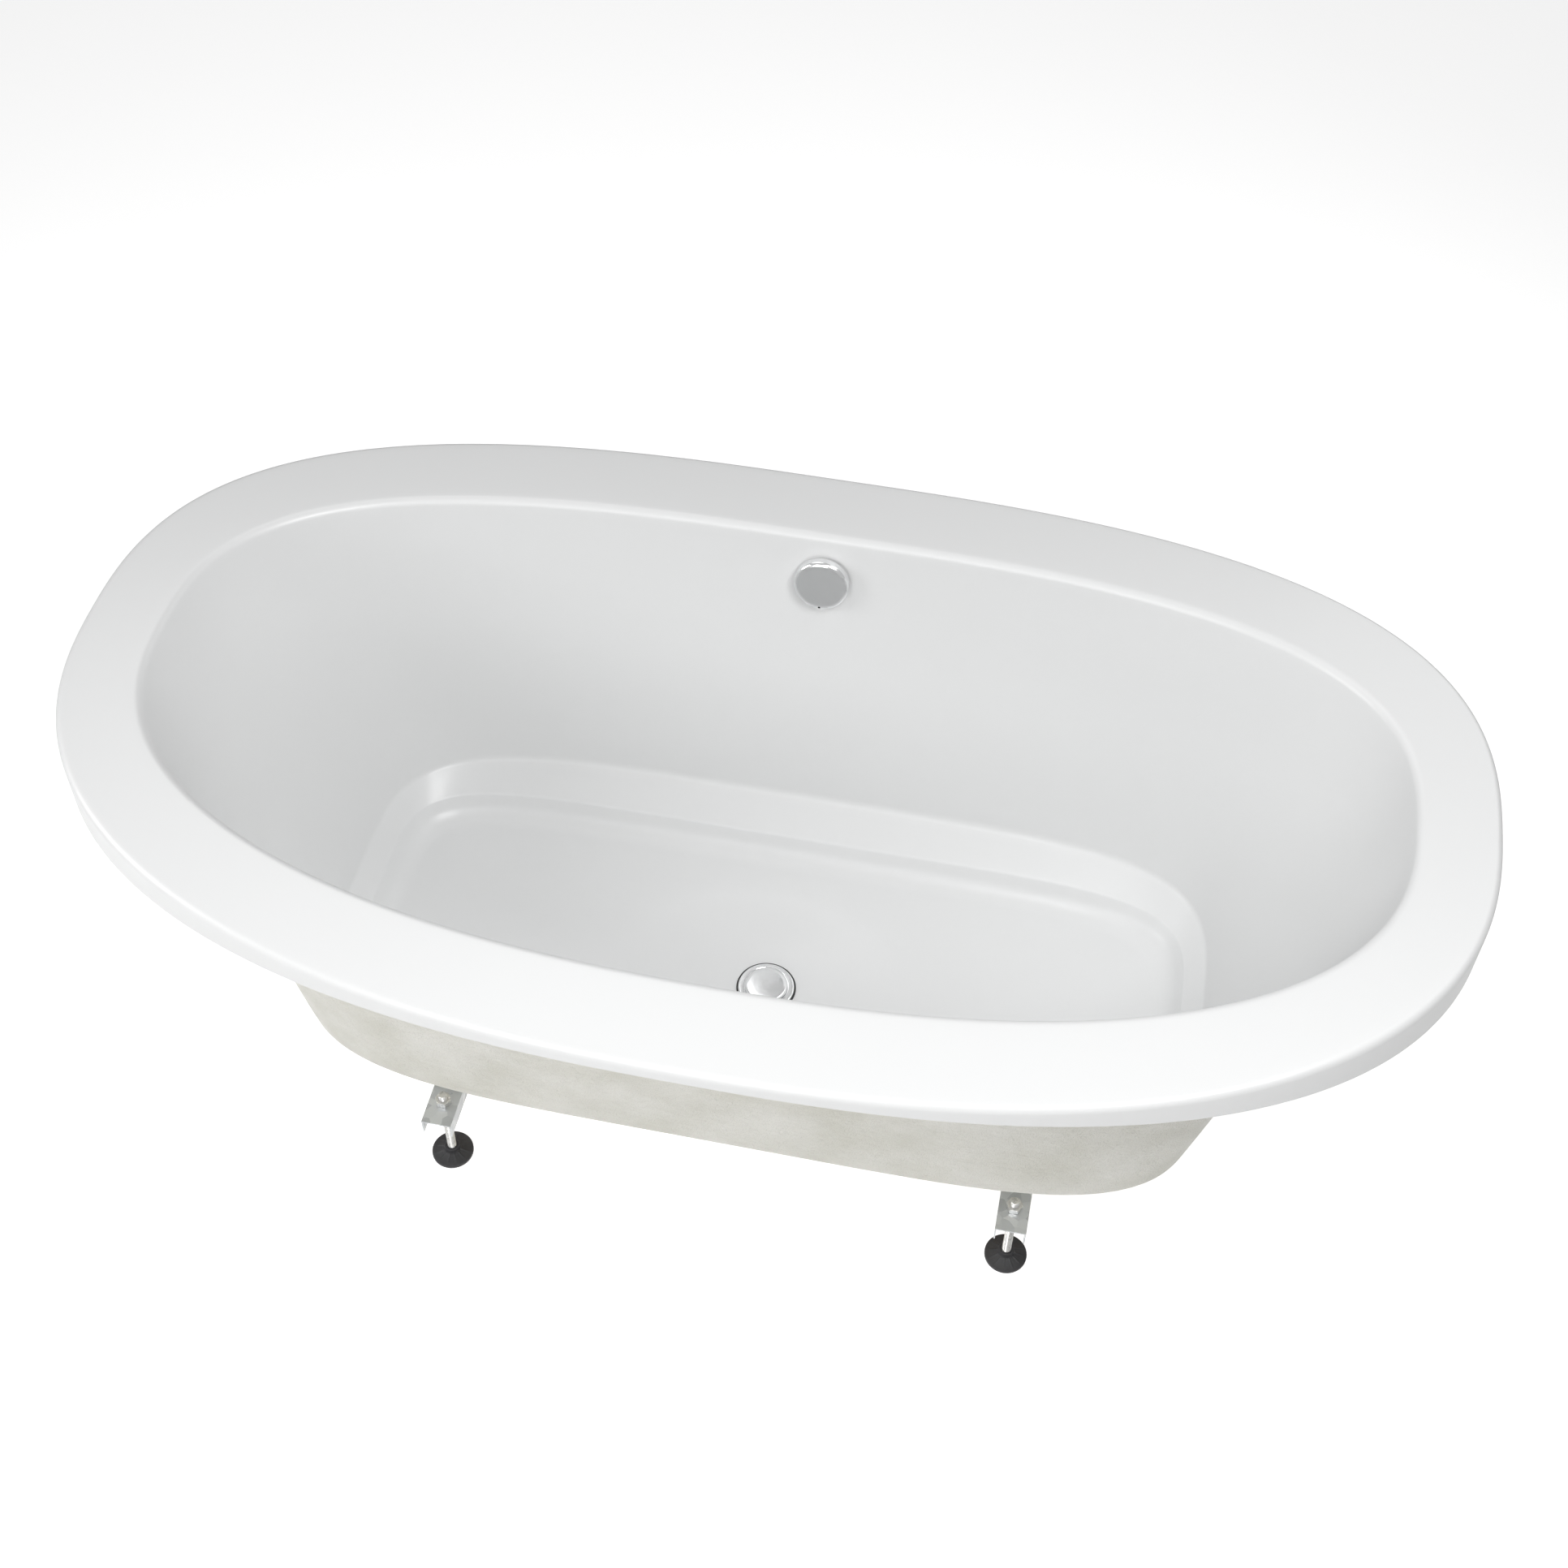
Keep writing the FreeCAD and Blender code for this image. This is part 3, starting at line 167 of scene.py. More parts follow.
# ---------------------------------------------------------------- materials
class Finish:
    """A Principled material, with procedural detail added by its methods."""

    def __init__(self, name, colour, roughness, metallic=0.0):
        self.material = bpy.data.materials.new(name)
        self.material.use_nodes = True
        self.nodes = self.material.node_tree.nodes
        self.links = self.material.node_tree.links
        self.shader = self.nodes["Principled BSDF"]
        self.shader.inputs["Base Color"].default_value = (*colour, 1)
        self.shader.inputs["Roughness"].default_value = roughness
        self.shader.inputs["Metallic"].default_value = metallic
        self.place = self.nodes.new("ShaderNodeTexCoord").outputs["Object"]
        self.relief = None

    def soften_edges(self, radius):
        """Rounds the look of hard edges by this radius in metres."""
        bevel = self.nodes.new("ShaderNodeBevel")
        bevel.samples = 4
        bevel.inputs["Radius"].default_value = radius
        self.relief = bevel.outputs["Normal"]
        self.links.new(self.relief, self.shader.inputs["Normal"])

    def stretched(self, x, y, z):
        """The object's coordinates scaled along each axis, for grain and brush marks."""
        mapping = self.nodes.new("ShaderNodeMapping")
        mapping.inputs["Scale"].default_value = (x, y, z)
        self.links.new(self.place, mapping.inputs["Vector"])
        return mapping.outputs["Vector"]

    def noise(self, scale, detail=3.0, where=None, distortion=0.0):
        """A cloudy value from 0 to 1, mostly between 0.3 and 0.7."""
        texture = self.nodes.new("ShaderNodeTexNoise")
        texture.inputs["Scale"].default_value = scale
        texture.inputs["Detail"].default_value = detail
        texture.inputs["Distortion"].default_value = distortion
        self.links.new(where or self.place, texture.inputs["Vector"])
        return texture.outputs["Fac"]

    def cells(self, scale, where=None):
        """A random value for each cell of a Voronoi pattern."""
        texture = self.nodes.new("ShaderNodeTexVoronoi")
        texture.inputs["Scale"].default_value = scale
        self.links.new(where or self.place, texture.inputs["Vector"])
        return texture.outputs["Color"]

    def spread(self, value, low, high, from_low=0.3, from_high=0.7):
        """Maps a texture's value on to the range from low to high."""
        remap = self.nodes.new("ShaderNodeMapRange")
        remap.inputs["From Min"].default_value = from_low
        remap.inputs["From Max"].default_value = from_high
        remap.inputs["To Min"].default_value = low
        remap.inputs["To Max"].default_value = high
        self.links.new(value, remap.inputs["Value"])
        return remap.outputs["Result"]

    def colour_from(self, value, stops):
        """Makes the colour follow value through the stops, each (position, colour)."""
        ramp = self.nodes.new("ShaderNodeValToRGB")
        band = ramp.color_ramp
        band.elements[0].position, band.elements[1].position = stops[0][0], stops[-1][0]
        band.elements[0].color, band.elements[1].color = (*stops[0][1], 1), (*stops[-1][1], 1)
        for position, colour in stops[1:-1]:
            band.elements.new(position).color = (*colour, 1)
        self.links.new(value, ramp.inputs["Fac"])
        self.links.new(ramp.outputs["Color"], self.shader.inputs["Base Color"])

    def vary_roughness(self, scale, low, high, where=None):
        """Makes the roughness wander between low and high."""
        self.links.new(self.spread(self.noise(scale, where=where), low, high),
                       self.shader.inputs["Roughness"])

    def raise_by(self, value, height):
        """Adds a relief of this height in metres on top of what is there."""
        bump = self.nodes.new("ShaderNodeBump")
        bump.inputs["Strength"].default_value = 1.0
        bump.inputs["Distance"].default_value = height
        self.links.new(value, bump.inputs["Height"])
        if self.relief is not None:
            self.links.new(self.relief, bump.inputs["Normal"])
        self.relief = bump.outputs["Normal"]
        self.links.new(self.relief, self.shader.inputs["Normal"])


def acrylic():
    """Gloss white sheet, drawn over a mould: slow waves, a fine skin and a gloss that wanders a little."""
    finish = Finish("acrylic", (0.80, 0.805, 0.805), 0.35)
    finish.shader.inputs["Coat Weight"].default_value = 0.15
    finish.shader.inputs["Coat Roughness"].default_value = 0.14
    finish.vary_roughness(5, 0.33, 0.37)
    finish.raise_by(finish.noise(3.5, 0.0), 0.0006)
    return finish.material


def laminate():
    """Chopped glass strands in resin, rolled on: pale straw with darker wet patches."""
    finish = Finish("laminate", (0.80, 0.79, 0.73), 0.5)
    strands = finish.noise(1.0, 4.0, finish.stretched(60, 260, 260), 1.4)
    crossing = finish.noise(1.0, 4.0, finish.stretched(260, 60, 200), 1.6)
    patches = finish.noise(11, 3.0)
    finish.colour_from(finish.spread(patches, 0, 1), [
        (0.0, (0.71, 0.70, 0.63)), (0.5, (0.77, 0.76, 0.70)), (1.0, (0.83, 0.82, 0.77))])
    finish.vary_roughness(40, 0.35, 0.65)
    finish.raise_by(strands, 0.0018)
    finish.raise_by(crossing, 0.0014)
    finish.raise_by(patches, 0.004)
    return finish.material


def chipboard():
    """Pressed chips of several browns under a resin seal."""
    finish = Finish("chipboard", (0.62, 0.47, 0.31), 0.55)
    finish.soften_edges(0.0015)
    chips = finish.cells(1.0, finish.stretched(160, 320, 420))
    finish.colour_from(chips, [
        (0.0, (0.36, 0.24, 0.13)), (0.45, (0.56, 0.41, 0.25)), (0.8, (0.68, 0.53, 0.35)),
        (1.0, (0.76, 0.63, 0.45))])
    finish.vary_roughness(60, 0.45, 0.7)
    finish.raise_by(finish.noise(300, 3.0), 0.0005)
    return finish.material


def galvanised():
    """Hot-dipped zinc with its large crystals."""
    finish = Finish("galvanised", (0.62, 0.64, 0.66), 0.4, metallic=1.0)
    finish.soften_edges(0.0006)
    crystals = finish.cells(75)
    finish.colour_from(crystals, [
        (0.0, (0.46, 0.48, 0.50)), (0.5, (0.60, 0.62, 0.64)), (1.0, (0.74, 0.76, 0.77))])
    finish.vary_roughness(90, 0.28, 0.5)
    finish.raise_by(finish.noise(500, 2.0), 0.00005)
    return finish.material


def zinc():
    """Bright plating, a little yellow where it is thick."""
    finish = Finish("zinc", (0.70, 0.70, 0.69), 0.3, metallic=1.0)
    finish.colour_from(finish.noise(120, 3.0), [
        (0.3, (0.58, 0.58, 0.57)), (0.7, (0.76, 0.75, 0.72))])
    finish.vary_roughness(200, 0.22, 0.42)
    return finish.material


def chrome():
    """Polished plate with faint water marks."""
    finish = Finish("chrome", (0.84, 0.845, 0.85), 0.14, metallic=1.0)
    finish.vary_roughness(70, 0.12, 0.18)
    finish.raise_by(finish.noise(60, 1.0), 0.00004)
    return finish.material


def stainless():
    """Drawn and brushed along its length."""
    finish = Finish("stainless", (0.62, 0.62, 0.61), 0.3, metallic=1.0)
    finish.vary_roughness(1.0, 0.22, 0.4, finish.stretched(60, 900, 900))
    finish.raise_by(finish.noise(1.0, 2.0, finish.stretched(80, 1500, 1500)), 0.00002)
    return finish.material


def brass():
    """Turned brass, dulled in places."""
    finish = Finish("brass", (0.72, 0.56, 0.30), 0.3, metallic=1.0)
    finish.soften_edges(0.0005)
    finish.colour_from(finish.noise(90, 3.0), [
        (0.3, (0.60, 0.44, 0.21)), (0.7, (0.78, 0.62, 0.34))])
    finish.vary_roughness(150, 0.2, 0.4)
    return finish.material


def moulded(name, colour, roughness, grain=500, cloud=0.04):
    """Moulded plastic or rubber: a slight cloud in the colour and a fine spark-eroded grain."""
    finish = Finish(name, colour, roughness)
    finish.soften_edges(0.0006)
    dark = tuple(max(c - cloud, 0.0) for c in colour)
    light = tuple(min(c + cloud, 1.0) for c in colour)
    finish.colour_from(finish.noise(24, 3.0), [(0.35, dark), (0.65, light)])
    finish.vary_roughness(120, roughness - 0.06, roughness + 0.08)
    finish.raise_by(finish.noise(grain, 2.0), 0.00006)
    return finish.material


def hose_plastic():
    """Soft grey polyethylene that lets a little light in."""
    finish = Finish("hose_plastic", (0.70, 0.71, 0.71), 0.38)
    finish.shader.inputs["Subsurface Weight"].default_value = 0.15
    finish.shader.inputs["Subsurface Radius"].default_value = (0.004, 0.004, 0.004)
    finish.colour_from(finish.noise(30, 2.0), [
        (0.35, (0.60, 0.61, 0.61)), (0.65, (0.70, 0.71, 0.71))])
    finish.vary_roughness(100, 0.3, 0.45)
    finish.raise_by(finish.noise(600, 2.0), 0.00005)
    return finish.material


def make_materials():
    """One finish for each of the record's material slots."""
    return {
        "acrylic": acrylic(),
        "laminate": laminate(),
        "chipboard": chipboard(),
        "galvanised": galvanised(),
        "zinc": zinc(),
        "foot_plastic": moulded("foot_plastic", (0.035, 0.035, 0.038), 0.5, cloud=0.01),
        "chrome": chrome(),
        "seal_rubber": moulded("seal_rubber", (0.03, 0.03, 0.03), 0.7, cloud=0.008),
        "pipe_plastic": moulded("pipe_plastic", (0.82, 0.82, 0.80), 0.36, cloud=0.02),
        "fitting_plastic": moulded("fitting_plastic", (0.045, 0.045, 0.05), 0.42, cloud=0.012),
        "hose_plastic": hose_plastic(),
        "brass": brass(),
        "cable_cover": moulded("cable_cover", (0.03, 0.03, 0.032), 0.45, cloud=0.008),
        "stainless": stainless(),
    }


# ---------------------------------------------------------------- names and places in the frame
def body_of(node):
    for body, nodes in frame["record"]["behaviour"]["bodies"].items():
        if node in nodes:
            return body
    raise KeyError(node)


def slot_of(node):
    return next(s["material_slot"] for s in frame["record"]["subparts"] if s["node"] == node)


def joint(name):
    return next(j for j in frame["joints"] if j["name"] == name)


def node_centre(node):
    low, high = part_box(node)
    return (low + high) / 2


def upright(x, y, z):
    return Matrix.Translation(Vector((x, y, z)))


def along(axis, start):
    """A frame at start whose Z runs along axis."""
    turn = Vector((0, 0, 1)).rotation_difference(axis)
    return Matrix.Translation(start) @ turn.to_matrix().to_4x4()


def overflow_place():
    """The overflow's own frame: X along the bath, Z out of the back wall into the well."""
    knob = joint("knob_turn")
    out = Vector(knob["axis"]).normalized()
    sideways = Vector((1, 0, 0))
    upward = out.cross(sideways)
    turn = Matrix((sideways, upward, out)).transposed().to_4x4()
    return Matrix.Translation(Vector(knob["pos_m"])) @ turn


# ---------------------------------------------------------------- mesh making
def stand_in(name, vertices, faces, node, sharp=35):
    """A mesh in the model's frame that rides with, and is shown in place of, a CAD node."""
    mesh = bpy.data.meshes.new(name)
    mesh.from_pydata([tuple(v) for v in vertices], [], faces)
    mesh.validate()
    piece = bpy.data.objects.new(name, mesh)
    bpy.context.scene.collection.objects.link(piece)
    mesh.shade_smooth()
    mesh.set_sharp_from_angle(angle=radians(sharp))
    mesh.materials.append(materials[slot_of(node)])
    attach(piece, body_of(node))
    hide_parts(node)
    return piece


def grid_faces(rows, columns, loop_rows):
    """Quads over a grid whose columns close round, and whose rows close too if asked."""
    faces = []
    for i in range(rows if loop_rows else rows - 1):
        j = (i + 1) % rows
        for k in range(columns):
            n = (k + 1) % columns
            faces.append((i * columns + k, i * columns + n, j * columns + n, j * columns + k))
    return faces


def rounded(outline, radius, closed, steps=5):
    """The outline of (radius, height) points with its inner corners turned into small arcs."""
    count = len(outline)
    smooth = []
    for i, here in enumerate(outline):
        here = Vector(here)
        if not closed and i in (0, count - 1):
            smooth.append(here)
            continue
        back, on = Vector(outline[i - 1]) - here, Vector(outline[(i + 1) % count]) - here
        reach = min(radius, back.length * 0.45, on.length * 0.45)
        start, end = here + back.normalized() * reach, here + on.normalized() * reach
        for step in range(steps + 1):
            t = step / steps
            smooth.append(start * (1 - t) ** 2 + here * 2 * t * (1 - t) + end * t ** 2)
    return smooth


def lathe(outline, place, around=96, closed=False, radius=0.0005, swell=None):
    """Vertices and faces of a turned piece; swell(turn, radius, height) may change its radius."""
    profile = rounded(outline, radius, closed)
    vertices = []
    for r, z in profile:
        for k in range(around):
            turn = 2 * pi * k / around
            reach = swell(turn, r, z) if swell else r
            vertices.append(place @ Vector((reach * cos(turn), reach * sin(turn), z)))
    faces = grid_faces(len(profile), around, closed)
    if not closed:
        faces.append(tuple(range(around))[::-1])
        last = (len(profile) - 1) * around
        faces.append(tuple(range(last, last + around)))
    return vertices, faces


def merged(parts):
    """Several (vertices, faces) pairs as one."""
    vertices, faces = [], []
    for more, more_faces in parts:
        offset = len(vertices)
        vertices += more
        faces += [tuple(i + offset for i in face) for face in more_faces]
    return vertices, faces


def box_at(place, wide, deep, tall):
    """A box that stands on its frame's XY plane, centred along X and reaching along +Y."""
    corners = [(x, y, z) for z in (0, tall) for x, y in
               ((-wide / 2, 0), (wide / 2, 0), (wide / 2, deep), (-wide / 2, deep))]
    faces = [(3, 2, 1, 0), (4, 5, 6, 7), (0, 1, 5, 4), (1, 2, 6, 5), (2, 3, 7, 6), (3, 0, 4, 7)]
    return [place @ Vector(point) for point in corners], faces


def rounded_bar(place, length, width, tall):
    """An upright bar with round ends and a softened top."""
    around, vertices = 48, []
    straight_half = (length - width) / 2
    for inset, z in ((0, 0), (0, tall - 0.8 * MM), (0.25 * MM, tall - 0.25 * MM), (0.8 * MM, tall)):
        for k in range(around):
            turn = 2 * pi * k / around
            end = straight_half if cos(turn) > 0 else -straight_half
            reach = width / 2 - inset
            vertices.append(place @ Vector((end + reach * cos(turn), reach * sin(turn), z)))
    faces = grid_faces(4, around, False)
    faces.append(tuple(range(around))[::-1])
    faces.append(tuple(range(3 * around, 4 * around)))
    return vertices, faces


def arched_block(place, half, radius):
    """A block over its frame's XY plane, hollowed underneath to this radius, reaching along +Y."""
    across = np.linspace(-half, half, 25)
    section = [(x, -x * x / (2 * radius)) for x in across] + [(half, half), (-half, half)]
    count = len(section)
    vertices = [place @ Vector((x, y, z)) for y in (0, half) for x, z in section]
    faces = [(k, (k + 1) % count, count + (k + 1) % count, count + k) for k in range(count)]
    faces.append(tuple(range(count))[::-1])
    faces.append(tuple(range(count, 2 * count)))
    return vertices, faces


def carve(piece, tool, sharp):
    """Cuts the tool, a closed mesh given as (vertices, faces), out of the piece."""
    vertices, faces = tool
    mesh = bpy.data.meshes.new("tool")
    mesh.from_pydata([tuple(v) for v in vertices], [], faces)
    blade = bpy.data.objects.new("tool", mesh)
    bpy.context.scene.collection.objects.link(blade)
    cutter = piece.modifiers.new("cut", "BOOLEAN")
    cutter.object = blade
    cutter.solver = "EXACT"
    bpy.context.view_layer.update()
    depsgraph = bpy.context.evaluated_depsgraph_get()
    carved = bpy.data.meshes.new_from_object(piece.evaluated_get(depsgraph))
    piece.modifiers.remove(cutter)
    piece.data = carved
    bpy.data.objects.remove(blade)
    carved.shade_smooth()
    carved.set_sharp_from_angle(angle=radians(sharp))


# ---------------------------------------------------------------- the oval skin
TURNS = np.linspace(0, 2 * pi, AROUND, endpoint=False)


class Ring:
    """One oval round the bath: half axes, superellipse power, height and share of the end rise."""

    def __init__(self, half_length, half_width, power, height, rise=0):
        self.half_length = half_length
        self.half_width = half_width
        self.power = power
        self.height = height
        self.rise = rise

    def points(self, inset=0.0, lift=0.0):
        c, s = np.cos(TURNS), np.sin(TURNS)
        reach = (abs(c) ** self.power + abs(s) ** self.power) ** (-1 / self.power)
        x = (self.half_length - inset) * reach * c
        y = (self.half_width - inset) * reach * s
        z = self.height + lift + self.rise * END_RISE * (x / HALF_LENGTH) ** 2
        return np.stack([x, y, z], axis=1)


class Station:
    """A place on the skin's profile: a ring, and the headings there at the ends and the sides.

    Headings are degrees from straight up, turning inwards: 0 climbs the lip, 90 crosses the rim.
    """

    def __init__(self, ring, heading, advance=0.0):
        self.ring = ring
        ends, sides = heading
        self.way = np.radians(ends * np.cos(TURNS) ** 2 + sides * np.sin(TURNS) ** 2)
        self.advance = advance

    def points(self, depth, reach=0.0):
        """The skin's points, sunk by depth below the show face and moved on by reach."""
        travel = self.advance + reach
        return self.ring.points(inset=travel * np.sin(self.way) + depth * np.cos(self.way),
                                lift=travel * np.cos(self.way) - depth * np.sin(self.way))


def corner(ring, heading_in, heading_out, radius):
    """The two ends of the arc that rounds the profile's corner at this ring."""
    before, after = Station(ring, heading_in), Station(ring, heading_out)
    tangent = radius * np.abs(np.tan((after.way - before.way) / 2))
    before.advance, after.advance = -tangent, tangent
    return before, after


def straight(first, second, depth, rows):
    """Rows of points that run straight from one station up to, but not on, the next."""
    start, end = first.points(depth), second.points(depth)
    return [start + (end - start) * i / rows for i in range(rows)]


def curved(first, second, depth, rows, handle):
    """The same along a cubic curve that leaves and arrives along the two headings."""
    p0, p1 = first.points(depth), first.points(depth, handle)
    p2, p3 = second.points(depth, -handle), second.points(depth)
    sampled = []
    for i in range(rows):
        t = i / rows
        sampled.append((1 - t) ** 3 * p0 + 3 * t * (1 - t) ** 2 * p1 + 3 * t * t * (1 - t) * p2
                       + t ** 3 * p3)
    return sampled


def arc(first, second, depth, rows, radius):
    """The same round the arc between a corner's two stations."""
    bend = second.way - first.way
    sunk = np.where(bend > 0, radius - depth, radius + depth)
    return curved(first, second, depth, rows, 4 / 3 * np.tan(np.abs(bend) / 4) * sunk)


def skin_profile():
    """The stations of the bath's profile, from the lip's edge to the drain hole."""
    rim = RIM_HEIGHT
    up, level = (0, 0), (90, 90)
    drop = LEDGE_DEPTH - FOOT_DEPTH
    ledge = (90 + degrees(atan2(drop, LEDGE_END)), 90 + degrees(atan2(drop, LEDGE_SIDE)))
    edge_half, edge_side = FOOT_HALF - LEDGE_END, FOOT_SIDE - LEDGE_SIDE
    lip_edge = Station(Ring(HALF_LENGTH, HALF_WIDTH, OUTLINE_POWER, rim - LIP_TALL), up)
    outline = Ring(HALF_LENGTH, HALF_WIDTH, OUTLINE_POWER, rim, 1)
    lip_top, rim_outer = corner(outline, up, level, OUTER_FOLD)
    well = Ring(HALF_LENGTH - RIM_END, HALF_WIDTH - RIM_SIDE, WELL_POWER, rim, 1)
    rim_inner, wall_top = corner(well, level, WALL_TOP, INNER_FOLD)
    foot = Ring(FOOT_HALF, FOOT_SIDE, FOOT_POWER, rim - FOOT_DEPTH)
    wall_foot, ledge_top = corner(foot, WALL_FOOT, ledge, FOOT_FOLD)
    edge = Ring(edge_half, edge_side, LEDGE_POWER, rim - LEDGE_DEPTH)
    edge_in, edge_out = corner(edge, ledge, STEP, LEDGE_FOLD)
    floor = Ring(edge_half - STEP_REACH, edge_side - STEP_REACH, LEDGE_POWER, rim - FLOOR_DEPTH)
    floor_in, floor_out = corner(floor, STEP, level, FLOOR_FOLD)
    dish = Station(Ring(DISH_HALF, DISH_SIDE, DISH_POWER, rim - FLOOR_DEPTH), level)
    seat = Station(Ring(SEAT_RADIUS, SEAT_RADIUS, 2, rim - SEAT_DEPTH), level)
    hole = Station(Ring(DRAIN_HOLE, DRAIN_HOLE, 2, rim - SEAT_DEPTH), level)
    return (lip_edge, lip_top, rim_outer, rim_inner, wall_top, wall_foot, ledge_top, edge_in,
            edge_out, floor_in, floor_out, dish, seat, hole)


def skin_rows(depth, from_rim):
    """The rows of points over the skin at this depth, from its outer edge to the drain hole."""
    (lip_edge, lip_top, rim_outer, rim_inner, wall_top, wall_foot, ledge_top, edge_in,
     edge_out, floor_in, floor_out, dish, seat, hole) = skin_profile()
    lip = straight(lip_edge, lip_top, depth, 5) + arc(lip_top, rim_outer, depth, 8, OUTER_FOLD)
    rows = (straight(rim_outer, rim_inner, depth, 14)
            + arc(rim_inner, wall_top, depth, 10, INNER_FOLD)
            + curved(wall_top, wall_foot, depth, 60, FOOT_DEPTH / 3)
            + arc(wall_foot, ledge_top, depth, 14, FOOT_FOLD)
            + straight(ledge_top, edge_in, depth, 6)
            + arc(edge_in, edge_out, depth, 8, LEDGE_FOLD)
            + straight(edge_out, floor_in, depth, 5)
            + arc(floor_in, floor_out, depth, 10, FLOOR_FOLD)
            + straight(floor_out, dish, depth, 20)
            + curved(dish, seat, depth, 24, DISH_SIDE / 4)
            + straight(seat, hole, depth, 4)
            + [hole.points(depth)])
    return rows if from_rim else lip + rows


def skin_mesh(top_depth, bottom_depth, from_rim):
    """The closed skin between two depths below the show face."""
    rows = skin_rows(top_depth, from_rim) + skin_rows(bottom_depth, from_rim)[::-1]
    vertices = [tuple(point) for row in rows for point in row]
    return vertices, grid_faces(len(rows), AROUND, True)


def bath_shell():
    """The acrylic sheet, from the lip's edge."""
    vertices, faces = skin_mesh(0, SKIN, False)
    drill_overflow(stand_in("shell_surface", vertices, faces, "bath_shell"))


def reinforcement_laminate():
    """The glass fibre under it, from the rim's edge."""
    top = SKIN + BOND
    vertices, faces = skin_mesh(top, top + LAMINATE, True)
    drill_overflow(stand_in("laminate_surface", vertices, faces, "reinforcement_laminate"))


def drill_overflow(piece):
    """Cuts the overflow's hole through the skin."""
    reach = 60 * MM
    drill = lathe([(OVERFLOW_HOLE, -reach), (OVERFLOW_HOLE, reach)], overflow_place())
    carve(piece, drill, sharp=35)


# ---------------------------------------------------------------- the cradle's threads, nuts and pads
def threaded_rod(node):
    """A rod with a real helical thread between its chamfered ends."""
    low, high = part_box(node)
    middle, length = (low + high) / 2, high.z - low.z
    per_turn, around = 8, 48
    chamfer, core, flank = 1 * MM, ROD_RADIUS - 1.2 * MM, 2.3
    rows = ceil(length / THREAD_PITCH * per_turn)
    vertices = []
    for i in range(rows + 1):
        z = length * i / rows
        room = min(z, length - z)
        crest = ROD_RADIUS - max(0, chamfer - room)
        for k in range(around):
            phase = (z / THREAD_PITCH - k / around) % 1
            groove = THREAD_DEPTH * min(1, flank * min(phase, 1 - phase))
            reach = max(crest - groove, core)
            turn = 2 * pi * k / around
            vertices.append((middle.x + reach * cos(turn), middle.y + reach * sin(turn), low.z + z))
    faces = grid_faces(rows + 1, around, False)
    faces.append(tuple(range(around))[::-1])
    faces.append(tuple(range(rows * around, (rows + 1) * around)))
    stand_in(node + "_thread", vertices, faces, node, sharp=60)


def hexagon_reach(turn, flats):
    """A hexagon's edge in the direction of turn, from its middle."""
    sixth = pi / 3
    return flats / 2 / cos((turn % sixth) - sixth / 2)


def hexagon_nut(place, flats, tall, bore):
    """A hexagon nut whose corners are chamfered at both faces."""
    washer_face, chamfer_slope = flats / 2 - 0.3 * MM, 1.7

    def swell(turn, r, z):
        if r <= bore * 1.05:
            return r
        return min(hexagon_reach(turn, flats), washer_face + chamfer_slope * min(z, tall - z))

    steps = [0, 0.3 * MM, 0.7 * MM, 1.1 * MM, 1.6 * MM, tall / 2]
    heights = steps + [tall - z for z in steps[-2::-1]]
    outline = [(bore, tall), (bore, 0)] + [(flats / 2, z) for z in heights]
    return lathe(outline, place, closed=True, radius=0, swell=swell)


def bar_nuts():
    """Two nuts on each foot's rod, one on either side of the channel's web."""
    low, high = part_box("bar_nuts")
    nuts = []
    for rod in CORNERS:
        middle = node_centre("foot_rod_" + rod)
        for z in (low.z, high.z - NUT_TALL):
            place = upright(middle.x, middle.y, z)
            nuts.append(hexagon_nut(place, NUT_FLATS, NUT_TALL, ROD_RADIUS + FIT))
    vertices, faces = merged(nuts)
    stand_in("bar_nuts_chamfered", vertices, faces, "bar_nuts")


def foot_pad(node):
    """A moulded pad: a ribbed cone on a flat sole, with a collar for the rod."""
    middle = node_centre(node)
    socket = ROD_RADIUS + FIT
    ribs, rib_tall = 12, 1.6 * MM

    def swell(turn, r, z):
        rib = max(0.0, cos(ribs * turn)) ** 4
        on_cone = 6.5 * MM < z < 11.5 * MM and r > 11 * MM
        return r - rib_tall * (1 - rib) if on_cone else r

    outline = [(0.5 * MM, 0), (25 * MM, 0), (27.2 * MM, 0.6 * MM), (PAD_RADIUS, 1.6 * MM),
               (PAD_RADIUS, 5.4 * MM), (27.2 * MM, 6.2 * MM), (22 * MM, 7.6 * MM),
               (16 * MM, 9.4 * MM), (12 * MM, 11.2 * MM), (10.6 * MM, 12.5 * MM),
               (10 * MM, 17.4 * MM), (9.4 * MM, PAD_TALL), (socket, PAD_TALL),
               (socket, PAD_TALL / 2 + 0.1 * MM), (0.5 * MM, PAD_TALL / 2)]
    vertices, faces = lathe(outline, upright(middle.x, middle.y, 0), around=144, swell=swell)
    stand_in(node + "_moulded", vertices, faces, node, sharp=50)


# ---------------------------------------------------------------- the waste
def ribbed_collar(place, bore, outer, length, ribs, deep):
    """A collar with rounded grips all round, and plain shoulders at both ends."""
    def swell(turn, r, z):
        grip = bore * 1.05 < r and 1.6 * MM < z < length - 1.6 * MM
        return r - deep * (0.5 - 0.5 * cos(ribs * turn)) ** 2 if grip else r

    shoulder = outer - 0.8 * deep
    outline = [(bore, 0), (shoulder - 1 * MM, 0), (shoulder, 1 * MM), (shoulder, 1.5 * MM),
               (outer, 2.2 * MM), (outer, length / 2), (outer, length - 2.2 * MM),
               (shoulder, length - 1.5 * MM), (shoulder, length - 1 * MM),
               (shoulder - 1 * MM, length), (bore, length)]
    return lathe(outline, place, around=240, closed=True, radius=0.3 * MM, swell=swell)


